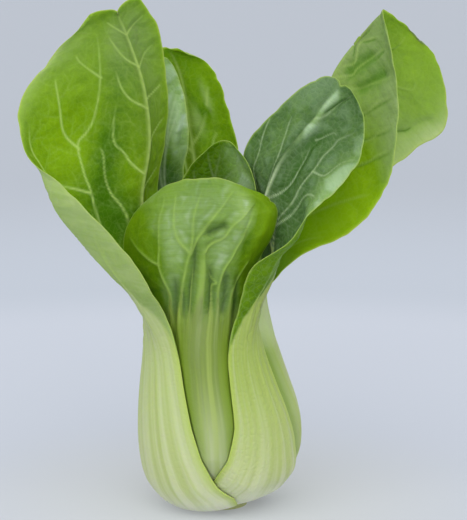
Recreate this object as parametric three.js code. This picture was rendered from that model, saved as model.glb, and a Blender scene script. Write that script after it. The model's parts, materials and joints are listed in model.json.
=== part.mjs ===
// A head of bok choy standing on its trimmed base. Millimetres, +Z up.
// The origin is the centre of the cut face of the stem. The front of the head faces -Y and +X is its right side.
// Each leaf grew as one piece: a fleshy stalk that clasps the head and a thin blade, joined along the midrib.
import * as THREE from 'three';

// ---- Driving dimensions ----
const BLADE_THICKNESS = 0.8; // leaf blade away from its midrib
const STALK_EDGE_THICKNESS = 1.6; // thin side edges of a stalk
const STALK_EDGE_SINK = 0.05; // how far a stalk's side edges sink below its middle, as a share of the layer depth
const LAYER_GAP = 0.75; // air between neighbouring stalks
const CORE_GAP = 0.5; // air between the stem base and the feet of the stalks
const OVERLAP_FADE = 22; // degrees past a stalk's edge over which the stalk beneath rises again
const FOOT_LENGTH = 0.28; // stations over which a stalk thickens to meet the stem
const FOOT_LIFT = 1.2; // stations by which the corners of a foot stand above its middle
const BASE_RISE = 4.2; // the underside of the bulb is this much higher on its right front side
const BASE_RISE_AZIMUTH = 325; // degrees, where that rise is largest
const BASE_RISE_FOCUS = 5; // how closely the rise keeps to that side
const BASE_RISE_TOP = 4; // station at which the rise has faded out
const BASE_RISE_FADE = 2; // stations over which it fades
const STALK_TOP = 7; // station at which every stalk passes into its blade
const STALK_ROUNDNESS = 0.8; // below 1 makes a stalk's section fuller than a parabola
const STALK_TURN = 1.5; // above 1 keeps a stalk's turn towards its neck for the upper part
const NECK_BLEND = 1.4; // blade stations over which a stalk's thickness gives way to the blade's
const MIDRIB_WIDTH = 0.1; // half width of the midrib, as a share of half a blade
const MIDRIB_FADE = 0.9; // how fast the midrib thins out towards the tip

// Profile of the bulb of stalks, at stations 0 to 8 from the base up: outer radius, its height,
// radius of the stem or open heart inside, its height, and the sideways lean of the head's axis.
const BULB = [
  [15.5, 0.3, 11.4, 1.5, -2.0],
  [21.5, 2.0, 11.2, 6.0, -2.0],
  [27.2, 6.6, 8.6, 12.0, -2.0],
  [31.6, 14.0, 5.6, 18.0, -2.0],
  [34.2, 26.0, 2.4, 26.5, -2.0],
  [34.0, 39.0, 1.4, 39.0, -2.6],
  [30.8, 54.0, 1.2, 54.0, -4.6],
  [27.4, 68.0, 1.2, 68.0, -6.2],
  [25.7, 80.0, 1.2, 80.0, -7.2],
];
// How the width of a stalk falls from its clasping foot (1) to its neck (0), at the same stations.
const STALK_TAPER = [1, 1, 0.83, 0.47, 0.22, 0.1, 0.05, 0, 0];
// Thickness of a stalk at the same stations, as a share of its thickest part.
const STALK_FULLNESS = [0.5, 0.7, 0.9, 1.0, 0.93, 0.86, 0.79, 0.72, 0.6];
// Positions across a leaf, from one margin (-1) over the midrib (0) to the other margin (1).
const ACROSS = [-1, -0.92, -0.8, -0.65, -0.48, -0.3, -0.12, 0, 0.12, 0.3, 0.48, 0.65, 0.8, 0.92, 1];

// ---- Leaves, from the outermost to the innermost, each 137.5 degrees round from the one before ----
// foot, neck: [azimuth, half width] in degrees. start: station of the foot. thick: thickest part of the stalk
// and inset: how deep it sits, both as shares of the layer depth. midrib: thickness at the blade's base.
// blade: rows from the neck to the tip; each row is [margin, belly, midrib, belly, margin] in mm.
const LEAVES = [
  {
    name: 'leaf_outer_left', foot: [225, 66], neck: [212, 30], start: 0, thick: 0.26, inset: 0, midrib: 3.6,
    colour: 0x6f9a2c,
    blade: [
      [[-33, 8, 84], [-34, 1, 85], [-31, -7, 86], [-41, -18, 86], [-25, -25, 86]],
      [[-30, 12, 104], [-34, 5, 105], [-32, -4, 105], [-73, -17, 110], [-35, -28, 104]],
      [[-27, 14, 127], [-30, 8, 127], [-33, -1, 126], [-89, -19, 131], [-54, -31, 127]],
      [[-24, 14, 150], [-28, 9, 149], [-30, 1, 148], [-76, -8, 149], [-76, -22, 145]],
      [[-23, 12, 169], [-28, 8, 170], [-32, -1, 170], [-60, -4, 170], [-80, -14, 164]],
      [[-25, 8, 187], [-32, 4, 188], [-37, -4, 187], [-55, -3, 185], [-71.5, -9, 177]],
      [[-29.5, 3, 199], [-34.5, -1, 199], [-41, -7, 197], [-51, -5, 195.5], [-60, -8, 190.5]],
      [[-34, -2, 206], [-38, -6, 206], [-41.5, -9, 199.5], [-46.5, -9, 202], [-52.5, -8, 198.8]],
    ],
  },
  {
    name: 'leaf_outer_back', foot: [87.5, 64], neck: [90, 28], start: 0, thick: 0.26, inset: 0, midrib: 3.4,
    colour: 0x5f9426,
    blade: [
      [[6, 22, 86], [2, 26, 86], [-5, 27, 86], [-12, 26, 86], [-16, 22, 86]],
      [[10, 28, 106], [4, 33, 108], [-8, 34, 108], [-20, 34, 108], [-28, 28, 106]],
      [[8, 33, 126], [2, 39, 130], [-12, 40, 130], [-28, 40, 130], [-38, 33, 126]],
      [[5, 36, 143], [-2, 43, 150], [-15, 44, 150], [-32, 44, 150], [-42, 36, 146]],
      [[0, 38, 161], [-8, 45, 168], [-18, 46, 168], [-32, 46, 166], [-40, 39, 162]],
      [[-6, 41, 174.5], [-13, 46, 178.5], [-22, 47, 179], [-29, 46, 178], [-35, 42, 174]],
      [[-19, 45, 181], [-21, 46, 182.5], [-25, 46, 183], [-28, 46, 182], [-31, 45, 180]],
    ],
  },
  {
    name: 'leaf_outer_right', foot: [309, 75], neck: [306, 20], start: 0.5, thick: 0.24, inset: 0.01, midrib: 3.4,
    colour: 0x6d9154,
    blade: [
      [[5, -25, 84], [11, -26, 86], [12.5, -19, 86], [15, -17, 86], [13, -13, 86]],
      [[10, -28, 102], [26.5, -25, 104], [19, -11, 104], [19, -6, 104], [14, -2, 104]],
      [[25, -30, 113], [38, -22, 117], [15.5, -8, 122], [16, -2, 123], [12, 4, 124]],
      [[33, -28, 124], [34, -16, 131], [20.5, -7, 137], [13.5, 2, 140], [7.5, 9, 143]],
      [[42, -25, 132], [39, -13, 142], [29.5, -5, 149], [24, 0, 154], [18.5, 6, 158]],
      [[53, -17, 143], [48, -8, 151], [36.5, -4, 157], [33, 0, 164], [29.5, 4, 169]],
      [[54, -10, 159], [50, -5, 163], [43, -3, 166], [41, -1, 171], [39, 2, 174]],
      [[50, -5, 169.5], [48, -4, 171], [46.5, -3, 171.5], [45, -2, 173], [44, -1, 174]],
    ],
  },
  {
    name: 'leaf_middle_left', foot: [172.5, 62], neck: [160, 22], start: 0.9, thick: 0.22, inset: 0.02, midrib: 3.0,
    colour: 0x7ba05e,
    blade: [
      [[-17, 14, 86], [-21, 13, 86], [-25, 8, 86], [-26, 4, 86], [-25, 0, 86]],
      [[-14.5, 21, 108], [-18.5, 22, 108], [-22, 20, 108], [-23, 17, 108], [-21, 13, 108]],
      [[-17, 24, 128], [-21, 23, 128], [-26, 22, 128], [-30, 21, 128], [-32, 19, 127]],
      [[-15, 25, 145], [-19, 23, 146], [-28, 22, 146], [-38, 20, 146], [-46, 14, 144]],
      [[-16, 25, 160], [-20, 24, 162], [-28, 23, 162], [-37, 21, 161], [-44, 16, 158]],
      [[-19, 24, 173], [-22, 24, 175], [-27, 23, 175], [-33, 22, 174], [-38, 19, 170]],
      [[-23, 23, 179], [-24, 23, 180], [-26, 23, 180], [-28, 22, 180], [-31, 21, 178]],
    ],
  },
  {
    name: 'leaf_middle_right', foot: [35, 60], neck: [9, 49], start: 1.3, thick: 0.22, inset: 0.03, midrib: 3.2,
    colour: 0x7aa62f,
    blade: [
      [[13.5, -8, 86], [16.5, -3, 87], [14.5, 6, 86], [12, 12, 86], [7.5, 16, 86]],
      [[30, -2, 102], [27, 6, 105.5], [20, 12, 108], [19, 18, 108], [20, 24, 106]],
      [[51, -3, 113], [38, 8, 123.5], [27, 16, 128], [32, 26, 126], [40, 34, 120]],
      [[62, -1, 126], [50, 10, 143], [36, 19, 152], [47, 30, 146], [64, 35, 129.5]],
      [[67, 1, 140], [58, 12, 160], [44, 21, 173], [62, 32, 163], [80, 37, 141.5]],
      [[69, 5, 162], [63, 14, 177], [53, 22, 186], [70, 31, 175], [91.5, 37, 150.5]],
      [[67, 10, 182], [63.5, 17, 190], [60, 22, 196], [73, 29, 188], [87, 33, 177]],
      [[63, 17, 196], [63.5, 19, 198], [63, 21, 200], [68.5, 24, 197], [74, 27, 191]],
    ],
  },
  {
    name: 'leaf_middle_front', foot: [257.5, 56], neck: [258, 42], start: 1.8, thick: 0.2, inset: 0.03, midrib: 3.0,
    colour: 0x86ad4a,
    blade: [
      [[-28, -14, 86], [-22, -22, 86], [-10, -22, 86], [1, -23, 86], [8.5, -16, 86]],
      [[-39, -13, 102], [-28, -27, 104], [-8.5, -25, 104], [5.5, -26, 104], [12, -17, 101]],
      [[-39.5, -13, 114], [-29.5, -28, 120], [-8, -27, 120], [13, -28, 120], [19, -16, 114.5]],
      [[-34.5, -15, 124], [-26.5, -26, 131], [-8, -27, 131], [10, -28, 131], [20, -16, 125.5]],
      [[-26, -20, 131], [-18, -25, 137], [-8, -27, 137.5], [2, -26, 137.5], [12, -21, 131]],
    ],
  },
  {
    name: 'leaf_inner_back', foot: [120, 52], neck: [118, 30], start: 2.2, thick: 0.18, inset: 0.14, midrib: 2.6,
    colour: 0x4d7a35,
    blade: [
      [[-4, 12, 86], [-8, 14, 86], [-13, 13, 86], [-18, 11, 86], [-20, 6, 86]],
      [[6, 5, 106], [0, 14, 107], [-9, 15, 107], [-18, 13, 107], [-21, 5, 106]],
      [[12.5, -7, 126], [6, 8, 128], [-5, 13, 128], [-14, 12, 128], [-18, 7, 130]],
      [[9.5, -3, 139], [5, 7, 141], [-2, 10, 141], [-8, 11, 141], [-12.5, 8, 139]],
      [[4, 3, 146.5], [2, 6, 148], [0, 7, 148], [-2, 8, 148], [-4, 8, 147]],
    ],
  },
  {
    name: 'leaf_heart_right', foot: [342.5, 44], neck: [342, 26], start: 2.7, thick: 0.15, inset: 0.17, midrib: 2.0,
    colour: 0x8fb55a,
    blade: [
      [[2, -10, 84], [6, -7, 84], [6, -2, 84], [6, 2, 84], [3, 5, 84]],
      [[1, -9, 100], [6, -8, 101], [7, -3, 102], [6, 1, 101], [2, 3, 100]],
      [[-1, -7, 112], [4, -8, 115], [6, -3, 116], [5, 1, 115], [0, 2, 112]],
      [[1, -4, 120], [2, -4, 122], [3, -3, 123], [3, -1, 122], [1, -1, 120]],
    ],
  },
  {
    name: 'leaf_heart_left', foot: [205, 40], neck: [205, 24], start: 3.1, thick: 0.12, inset: 0.2, midrib: 1.8,
    colour: 0x97bb62,
    blade: [
      [[-18, 4, 82], [-20, 0, 82], [-19, -4, 82], [-16, -9, 82], [-11, -10, 82]],
      [[-17, 6, 96], [-22, 1, 97], [-20, -5, 98], [-16, -11, 97], [-9, -11, 96]],
      [[-14, 4, 107], [-18, 1, 109], [-17, -4, 110], [-13, -9, 109], [-9, -8, 107]],
      [[-14, 0, 113], [-15, -1, 115], [-14, -3, 116], [-12, -5, 115], [-11, -5, 113]],
    ],
  },
  {
    name: 'leaf_heart_back', foot: [67.5, 36], neck: [67, 24], start: 3.5, thick: 0.1, inset: 0.24, midrib: 1.6,
    colour: 0xa5c56c,
    blade: [
      [[-1, 4, 78], [-2, 7, 78], [-4, 7, 78], [-7, 8, 78], [-9, 5, 78]],
      [[2, 3, 90], [-1, 8, 91], [-4, 8, 92], [-8, 9, 91], [-12, 3, 90]],
      [[-1, 3, 99], [-3, 6, 101], [-5, 6, 102], [-7, 6, 101], [-10, 3, 99]],
      [[-3, 4, 104], [-4, 5, 105], [-5, 5, 106], [-6, 5, 105], [-7, 4, 104]],
    ],
  },
];

// ---- Mesh and finish ----
const STALK_ROWS = 12;
const ROW_CROWDING = 1.35; // above 1 sets a stalk's rows closer together at its foot
const ROWS_PER_BLADE_STATION = 2.2;
const STEM_SEGMENTS = 36;
const STEM_RING_STEP = 0.5; // stations between the rings of the stem
const STEM_TOP = 4; // station at which the stem ends
const STEM_TIP_RISE = 1.2; // mm from its last ring to the growing point
const STEM_COLOUR = 0xdfe3c4;
const STEM_ROUGHNESS = 0.6;
const LEAF_ROUGHNESS = 0.45;

// ---- Curves ----
function smooth(x) {
  const c = Math.min(Math.max(x, 0), 1);
  return c * c * (3 - 2 * c);
}

// Smooth curve through equally spaced rows of numbers, at position t.
function through(rows, t) {
  const last = rows.length - 1;
  const i = Math.min(Math.max(Math.floor(t), 0), last - 1);
  const f = t - i;
  const b = rows[i];
  const c = rows[i + 1];
  const a = i > 0 ? rows[i - 1] : b.map((v, n) => 2 * v - c[n]);
  const d = i + 2 <= last ? rows[i + 2] : c.map((v, n) => 2 * v - b[n]);
  return b.map((v, n) => {
    const slope = c[n] - a[n];
    const bend = 2 * a[n] - 5 * v + 4 * c[n] - d[n];
    const twist = 3 * v - a[n] - 3 * c[n] + d[n];
    return v + 0.5 * f * (slope + f * (bend + f * twist));
  });
}

// Straight lines through equally spaced numbers, at position t.
function along(values, t) {
  const i = Math.min(Math.max(Math.floor(t), 0), values.length - 2);
  return values[i] + (values[i + 1] - values[i]) * (t - i);
}

// ---- Stalks: layers of the bulb. Depth 0 is the outside of the bulb and depth 1 is the stem ----
function layerDepth(s) {
  const [outerR, outerZ, innerR, innerZ] = through(BULB, s);
  return Math.hypot(outerR - innerR, outerZ - innerZ);
}

function azimuth(leaf, s) {
  return leaf.foot[0] + (leaf.neck[0] - leaf.foot[0]) * (s / STALK_TOP) ** STALK_TURN;
}

function halfWidth(leaf, s) {
  return leaf.neck[1] + (leaf.foot[1] - leaf.neck[1]) * along(STALK_TAPER, s);
}

function stalkThickness(leaf, s, x) {
  const edge = STALK_EDGE_THICKNESS / layerDepth(s);
  const middle = Math.max(leaf.thick * along(STALK_FULLNESS, s), edge);
  return edge + (middle - edge) * Math.max(1 - x * x, 0) ** STALK_ROUNDNESS;
}

function footShare(leaf, s) {
  return smooth(1 - (s - leaf.start) / FOOT_LENGTH);
}

// Depth that a stalk takes up at an azimuth, fading out past its side edges.
function depthTaken(leaf, s, angle) {
  const turn = ((((angle - azimuth(leaf, s) + 180) % 360) + 360) % 360) - 180;
  const width = halfWidth(leaf, s);
  const x = Math.min(Math.abs(turn) / width, 1);
  const flesh = stalkThickness(leaf, s, x) + STALK_EDGE_SINK * x * x;
  const full = flesh + (1 - flesh) * footShare(leaf, s) + LAYER_GAP / layerDepth(s);
  return full * (1 - smooth((Math.abs(turn) - width) / OVERLAP_FADE));
}

// Height that the outside of the bulb gains on its raised side, fading out above the base.
function baseRise(s, angle) {
  const facing = (1 + Math.cos(THREE.MathUtils.degToRad(angle - BASE_RISE_AZIMUTH))) / 2;
  return BASE_RISE * facing ** BASE_RISE_FOCUS * smooth((BASE_RISE_TOP - s) / BASE_RISE_FADE);
}

function pointInBulb(s, depth, angle) {
  const [outerR, outerZ, innerR, innerZ, lean] = through(BULB, s);
  const r = outerR + (innerR - outerR) * depth;
  const a = THREE.MathUtils.degToRad(angle);
  const z = innerZ * depth + (outerZ + baseRise(s, angle)) * (1 - depth);
  return new THREE.Vector3(lean + r * Math.cos(a), r * Math.sin(a), z);
}

// Outer and inner surface point of stalk number k at station s and position x across it.
function stalkPoints(k, s, x) {
  const leaf = LEAVES[k];
  const angle = azimuth(leaf, s) + x * halfWidth(leaf, s);
  let outer = leaf.inset + STALK_EDGE_SINK * x * x;
  for (const above of LEAVES.slice(0, k)) {
    if (s >= above.start) outer += depthTaken(above, s, angle);
  }
  const flesh = outer + stalkThickness(leaf, s, x);
  const inner = Math.min(flesh + (1 - flesh) * footShare(leaf, s), 1);
  return { outer: pointInBulb(s, outer, angle), inner: pointInBulb(s, inner, angle) };
}

// Middle surface and half thickness of one row across a stalk, at a share of its height.
function stalkRow(k, share) {
  return ACROSS.map((x) => {
    const start = LEAVES[k].start + FOOT_LIFT * x ** 4;
    const { outer, inner } = stalkPoints(k, start + (STALK_TOP - start) * share, x);
    const middle = outer.clone().add(inner).multiplyScalar(0.5);
    return { middle, half: outer.clone().sub(middle) };
  });
}

// ---- Blades ----
// The neck of the stalk as a blade row, so that the blade flows on from it.
function neckRow(k, s) {
  const [a, ab, m, bb, b] = [-1, -0.5, 0, 0.5, 1].map((x) => {
    const { outer, inner } = stalkPoints(k, s, x);
    return outer.add(inner).multiplyScalar(0.5);
  });
  const belly = (half, end) => half.clone().multiplyScalar(2).sub(end.clone().add(m).multiplyScalar(0.5));
  return [a, belly(ab, a), m, belly(bb, b), b].flatMap((p) => p.toArray());
}

// A point of a blade row: each half is a quadratic curve from the midrib over its belly to the margin.
function bladePoint(row, x) {
  const u = Math.abs(x);
  const point = (n) => new THREE.Vector3(row[3 * n], row[3 * n + 1], row[3 * n + 2]);
  const result = point(2).multiplyScalar((1 - u) ** 2);
  result.addScaledVector(point(x < 0 ? 1 : 3), 2 * u * (1 - u));
  return result.addScaledVector(point(x < 0 ? 0 : 4), u * u);
}

function bladeThickness(leaf, share, x) {
  const rib = leaf.midrib * (1 - MIDRIB_FADE * share) - BLADE_THICKNESS;
  return BLADE_THICKNESS + Math.max(rib, 0) * Math.exp(-((x / MIDRIB_WIDTH) ** 2));
}

// All rows of a leaf, from its foot to its tip.
function leafRows(k) {
  const leaf = LEAVES[k];
  const rows = [];
  for (let i = 0; i < STALK_ROWS; i += 1) {
    const share = (i / (STALK_ROWS - 1)) ** ROW_CROWDING;
    rows.push(stalkRow(k, share));
  }
  const net = [neckRow(k, STALK_TOP - 1), neckRow(k, STALK_TOP), ...leaf.blade.map((row) => row.flat())];
  const stations = net.length - 2;
  const bladeRows = Math.round(stations * ROWS_PER_BLADE_STATION);
  for (let i = 1; i <= bladeRows; i += 1) {
    const share = i / bladeRows;
    const row = through(net, 1 + stations * share);
    rows.push(ACROSS.map((x) => ({ middle: bladePoint(row, x), share })));
  }
  return rows;
}

function surfaceNormal(rows, i, j) {
  const up = rows[Math.min(i + 1, rows.length - 1)][j].middle.clone().sub(rows[Math.max(i - 1, 0)][j].middle);
  const row = rows[i];
  const side = row[Math.min(j + 1, row.length - 1)].middle.clone().sub(row[Math.max(j - 1, 0)].middle);
  return side.cross(up).normalize();
}

// Half thickness of every blade point, which takes over from the stalk's own within the first station.
function setBladeThickness(k, rows) {
  const leaf = LEAVES[k];
  const neck = rows[STALK_ROWS - 1];
  const stations = leaf.blade.length;
  for (let i = STALK_ROWS; i < rows.length; i += 1) {
    rows[i].forEach((cell, j) => {
      const blade = bladeThickness(leaf, cell.share, ACROSS[j]) / 2;
      const keep = 1 - smooth((cell.share * stations) / NECK_BLEND);
      const half = surfaceNormal(rows, i, j).multiplyScalar(blade);
      const stalk = surfaceNormal(rows, i, j).multiplyScalar(neck[j].half.length());
      cell.half = half.lerp(stalk, keep);
    });
  }
}

// ---- Solids ----
function indexedGeometry(points, triangles) {
  const geometry = new THREE.BufferGeometry();
  geometry.setAttribute('position', new THREE.Float32BufferAttribute(points.flatMap((p) => p.toArray()), 3));
  geometry.setIndex(triangles.flat());
  geometry.translate(-BULB[0][4], 0, 0);
  geometry.computeVertexNormals();
  return geometry;
}

function leafGeometry(k) {
  const rows = leafRows(k);
  setBladeThickness(k, rows);
  const columns = ACROSS.length;
  const cells = rows.flat();
  const outer = cells.map((cell) => cell.middle.clone().add(cell.half));
  const inner = cells.map((cell) => cell.middle.clone().sub(cell.half));
  const at = (i, j) => i * columns + j;
  const back = (i, j) => cells.length + at(i, j);
  const triangles = [];
  const quad = (a, b, c, d) => triangles.push([a, b, c], [a, c, d]);
  for (let i = 0; i + 1 < rows.length; i += 1) {
    for (let j = 0; j + 1 < columns; j += 1) {
      quad(at(i, j), at(i, j + 1), at(i + 1, j + 1), at(i + 1, j));
      quad(back(i, j), back(i + 1, j), back(i + 1, j + 1), back(i, j + 1));
    }
    quad(at(i, 0), at(i + 1, 0), back(i + 1, 0), back(i, 0));
    const end = columns - 1;
    quad(at(i, end), back(i, end), back(i + 1, end), at(i + 1, end));
  }
  const top = rows.length - 1;
  for (let j = 0; j + 1 < columns; j += 1) {
    quad(at(0, j), back(0, j), back(0, j + 1), at(0, j + 1));
    quad(at(top, j), at(top, j + 1), back(top, j + 1), back(top, j));
  }
  return indexedGeometry([...outer, ...inner], triangles);
}

// The trimmed stem: a short cone with a flat cut face at the bottom and the growing point at the top.
function stemGeometry() {
  const profile = [];
  for (let s = 0; s <= STEM_TOP; s += STEM_RING_STEP) {
    const [, , innerR, innerZ] = through(BULB, s);
    profile.push([innerR - CORE_GAP, innerZ]);
  }
  const lean = BULB[0][4];
  const points = [new THREE.Vector3(lean, 0, 0)];
  const rings = [[profile[0][0], 0], ...profile];
  for (const [r, z] of rings) {
    for (let n = 0; n < STEM_SEGMENTS; n += 1) {
      const a = (2 * Math.PI * n) / STEM_SEGMENTS;
      points.push(new THREE.Vector3(lean + r * Math.cos(a), r * Math.sin(a), z));
    }
  }
  const tip = points.length;
  points.push(new THREE.Vector3(lean, 0, profile.at(-1)[1] + STEM_TIP_RISE));
  const at = (ring, n) => 1 + ring * STEM_SEGMENTS + (n % STEM_SEGMENTS);
  const triangles = [];
  for (let n = 0; n < STEM_SEGMENTS; n += 1) {
    triangles.push([0, at(0, n + 1), at(0, n)]);
    triangles.push([tip, at(rings.length - 1, n), at(rings.length - 1, n + 1)]);
    for (let ring = 0; ring + 1 < rings.length; ring += 1) {
      triangles.push([at(ring, n), at(ring, n + 1), at(ring + 1, n + 1)]);
      triangles.push([at(ring, n), at(ring + 1, n + 1), at(ring + 1, n)]);
    }
  }
  return indexedGeometry(points, triangles);
}

function addPiece(group, name, geometry, color, roughness) {
  const material = new THREE.MeshStandardMaterial({ color, roughness, metalness: 0 });
  const mesh = new THREE.Mesh(geometry, material);
  mesh.name = name;
  group.add(mesh);
}

const head = new THREE.Group();
head.name = 'bok_choy';
addPiece(head, 'stem_base', stemGeometry(), STEM_COLOUR, STEM_ROUGHNESS);
LEAVES.forEach((leaf, k) => addPiece(head, leaf.name, leafGeometry(k), leaf.colour, LEAF_ROUGHNESS));

export default head;
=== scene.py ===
"""The looks of a young head of bok choy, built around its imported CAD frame. For Blender 4.5.

Each leaf is one closed mesh that follows its CAD solid: a stalk, which is one layer of the bulb, and a
blade, which is a curved sheet. Here the leaf also has its veins, folds, puckers, ribs and wavy margin.
Lengths are in millimetres until a mesh is made. +Z is up, the front faces -Y, and +X is to the right.
"""

import json
import math

import bpy
import numpy as np
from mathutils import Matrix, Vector


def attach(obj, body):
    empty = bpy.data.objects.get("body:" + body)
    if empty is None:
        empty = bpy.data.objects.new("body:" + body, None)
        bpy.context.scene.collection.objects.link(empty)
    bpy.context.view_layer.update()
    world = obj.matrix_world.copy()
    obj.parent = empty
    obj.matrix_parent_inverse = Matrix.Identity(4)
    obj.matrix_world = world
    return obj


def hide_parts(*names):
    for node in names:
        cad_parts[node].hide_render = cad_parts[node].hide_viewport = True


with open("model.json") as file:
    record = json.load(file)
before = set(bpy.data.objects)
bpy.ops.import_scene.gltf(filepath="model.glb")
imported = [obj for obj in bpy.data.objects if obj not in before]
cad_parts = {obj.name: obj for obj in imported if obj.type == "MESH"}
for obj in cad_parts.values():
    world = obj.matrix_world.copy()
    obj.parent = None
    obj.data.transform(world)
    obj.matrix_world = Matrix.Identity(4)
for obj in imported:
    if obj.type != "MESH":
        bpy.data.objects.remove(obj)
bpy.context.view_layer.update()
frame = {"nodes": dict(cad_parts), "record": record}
MM = 0.001
TINY = 1e-9

# ---- The bulb and its stalks, as in the CAD, but with thinner blades and thinner edges on the stalks ----
BLADE_THICKNESS = 0.5
STALK_EDGE_THICKNESS = 0.6
STALK_EDGE_SINK = 0.05
LAYER_GAP = 0.4
OVERLAP_FADE = 22.0
FOOT_LENGTH = 0.28
FOOT_LIFT = 1.2
FOOT_ROUNDNESS = 4
BASE_RISE = 4.2
BASE_RISE_AZIMUTH = 325.0
BASE_RISE_FOCUS = 5
BASE_RISE_TOP = 4.0
BASE_RISE_FADE = 2.0
STALK_TOP = 7.0
STALK_ROUNDNESS = 0.8
STALK_TURN = 1.5
NECK_BLEND = 1.4
MIDRIB_FADE = 0.9

# Bulb profile at stations 0 to 8: outer radius, its height, inner radius, its height, lean of the axis.
BULB = [
    [15.5, 0.3, 11.4, 1.5, -2.0],
    [21.5, 2.0, 11.2, 6.0, -2.0],
    [27.2, 6.6, 8.6, 12.0, -2.0],
    [31.6, 14.0, 5.6, 18.0, -2.0],
    [34.2, 26.0, 2.4, 26.5, -2.0],
    [34.0, 39.0, 1.4, 39.0, -2.6],
    [30.8, 54.0, 1.2, 54.0, -4.6],
    [27.4, 68.0, 1.2, 68.0, -6.2],
    [25.7, 80.0, 1.2, 80.0, -7.2],
]
FOOT_LEAN = BULB[0][4]
STALK_TAPER = [1, 1, 0.83, 0.47, 0.22, 0.1, 0.05, 0, 0]
STALK_FULLNESS = [0.5, 0.7, 0.9, 1.0, 0.93, 0.86, 0.79, 0.72, 0.6]

# ---- Leaves, from the outermost to the innermost ----
# A place on a leaf is (station, across). Station 0 is the neck, each row of the blade is one more, and the
# stalk is below 0. Across is -1 at the left margin and 1 at the right one, seen from outside the head.
# foot, neck: azimuth and half width of the stalk, in degrees. start: bulb station where it leaves the stem.
# thick, inset: thickness and extra depth, as shares of the bulb's depth. midrib: thickness at the neck.
# midrib_top: station where it ends. rib_behind: how much of it stands out on the outer face.
# pitch: grid spacing. vein: half width of a main vein. fine: whether it has a third order of veins.
# pucker, relief, lumps, ruffle, scallop: heights. notched: the tip keeps its sharp notch.
# stalk_top, stalk_droop: station where the stalk's pale flesh ends, left and right of the midrib, and how
# much lower that is at the margins. droop_power: how late it droops. stalk_blur: stations of its fading.
# vein_tint: how pale the veins are, at the neck and the tip. midrib_tint: what the midrib adds to that.
# outer_veins: their share on the outer face. cover_reach: how far the painted shade beside the edge of an
# overlying stalk reaches.
# deep, bloom: dark green, partly painted shade and painted light, and waxy bloom, partly painted sheen:
# outer face at the neck and the tip, then the inner face.
# nicks: (station, across, depth, half width). veins: paths.
# folds, furrows: (path, height, half width). A furrow also gets painted shade on the face where it is a
# groove.
# patches: (face, station, across, tall, wide, added bloom, added deep), and face 1 is the inner one.
# Besides real bloom and darker green, they hold painted sheen on ridges and folds, painted shade in valleys
# and painted light where a face turns down.
# blade: rows from neck to tip, with the left margin, left belly, midrib, right belly and right margin.
PLAIN = dict(
    fine=False, pucker=0.5, relief=0.35, lumps=0.5, ruffle=0.3, scallop=0.4, stalk_top=[0.4, 0.4],
    stalk_droop=[1, 1], droop_power=2, stalk_blur=0.8, notched=False, outer_veins=0.45, midrib_tint=0,
    rib_behind=0.62, cover_reach=4, nicks=[], folds=[], furrows=[], patches=[],
)
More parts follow.
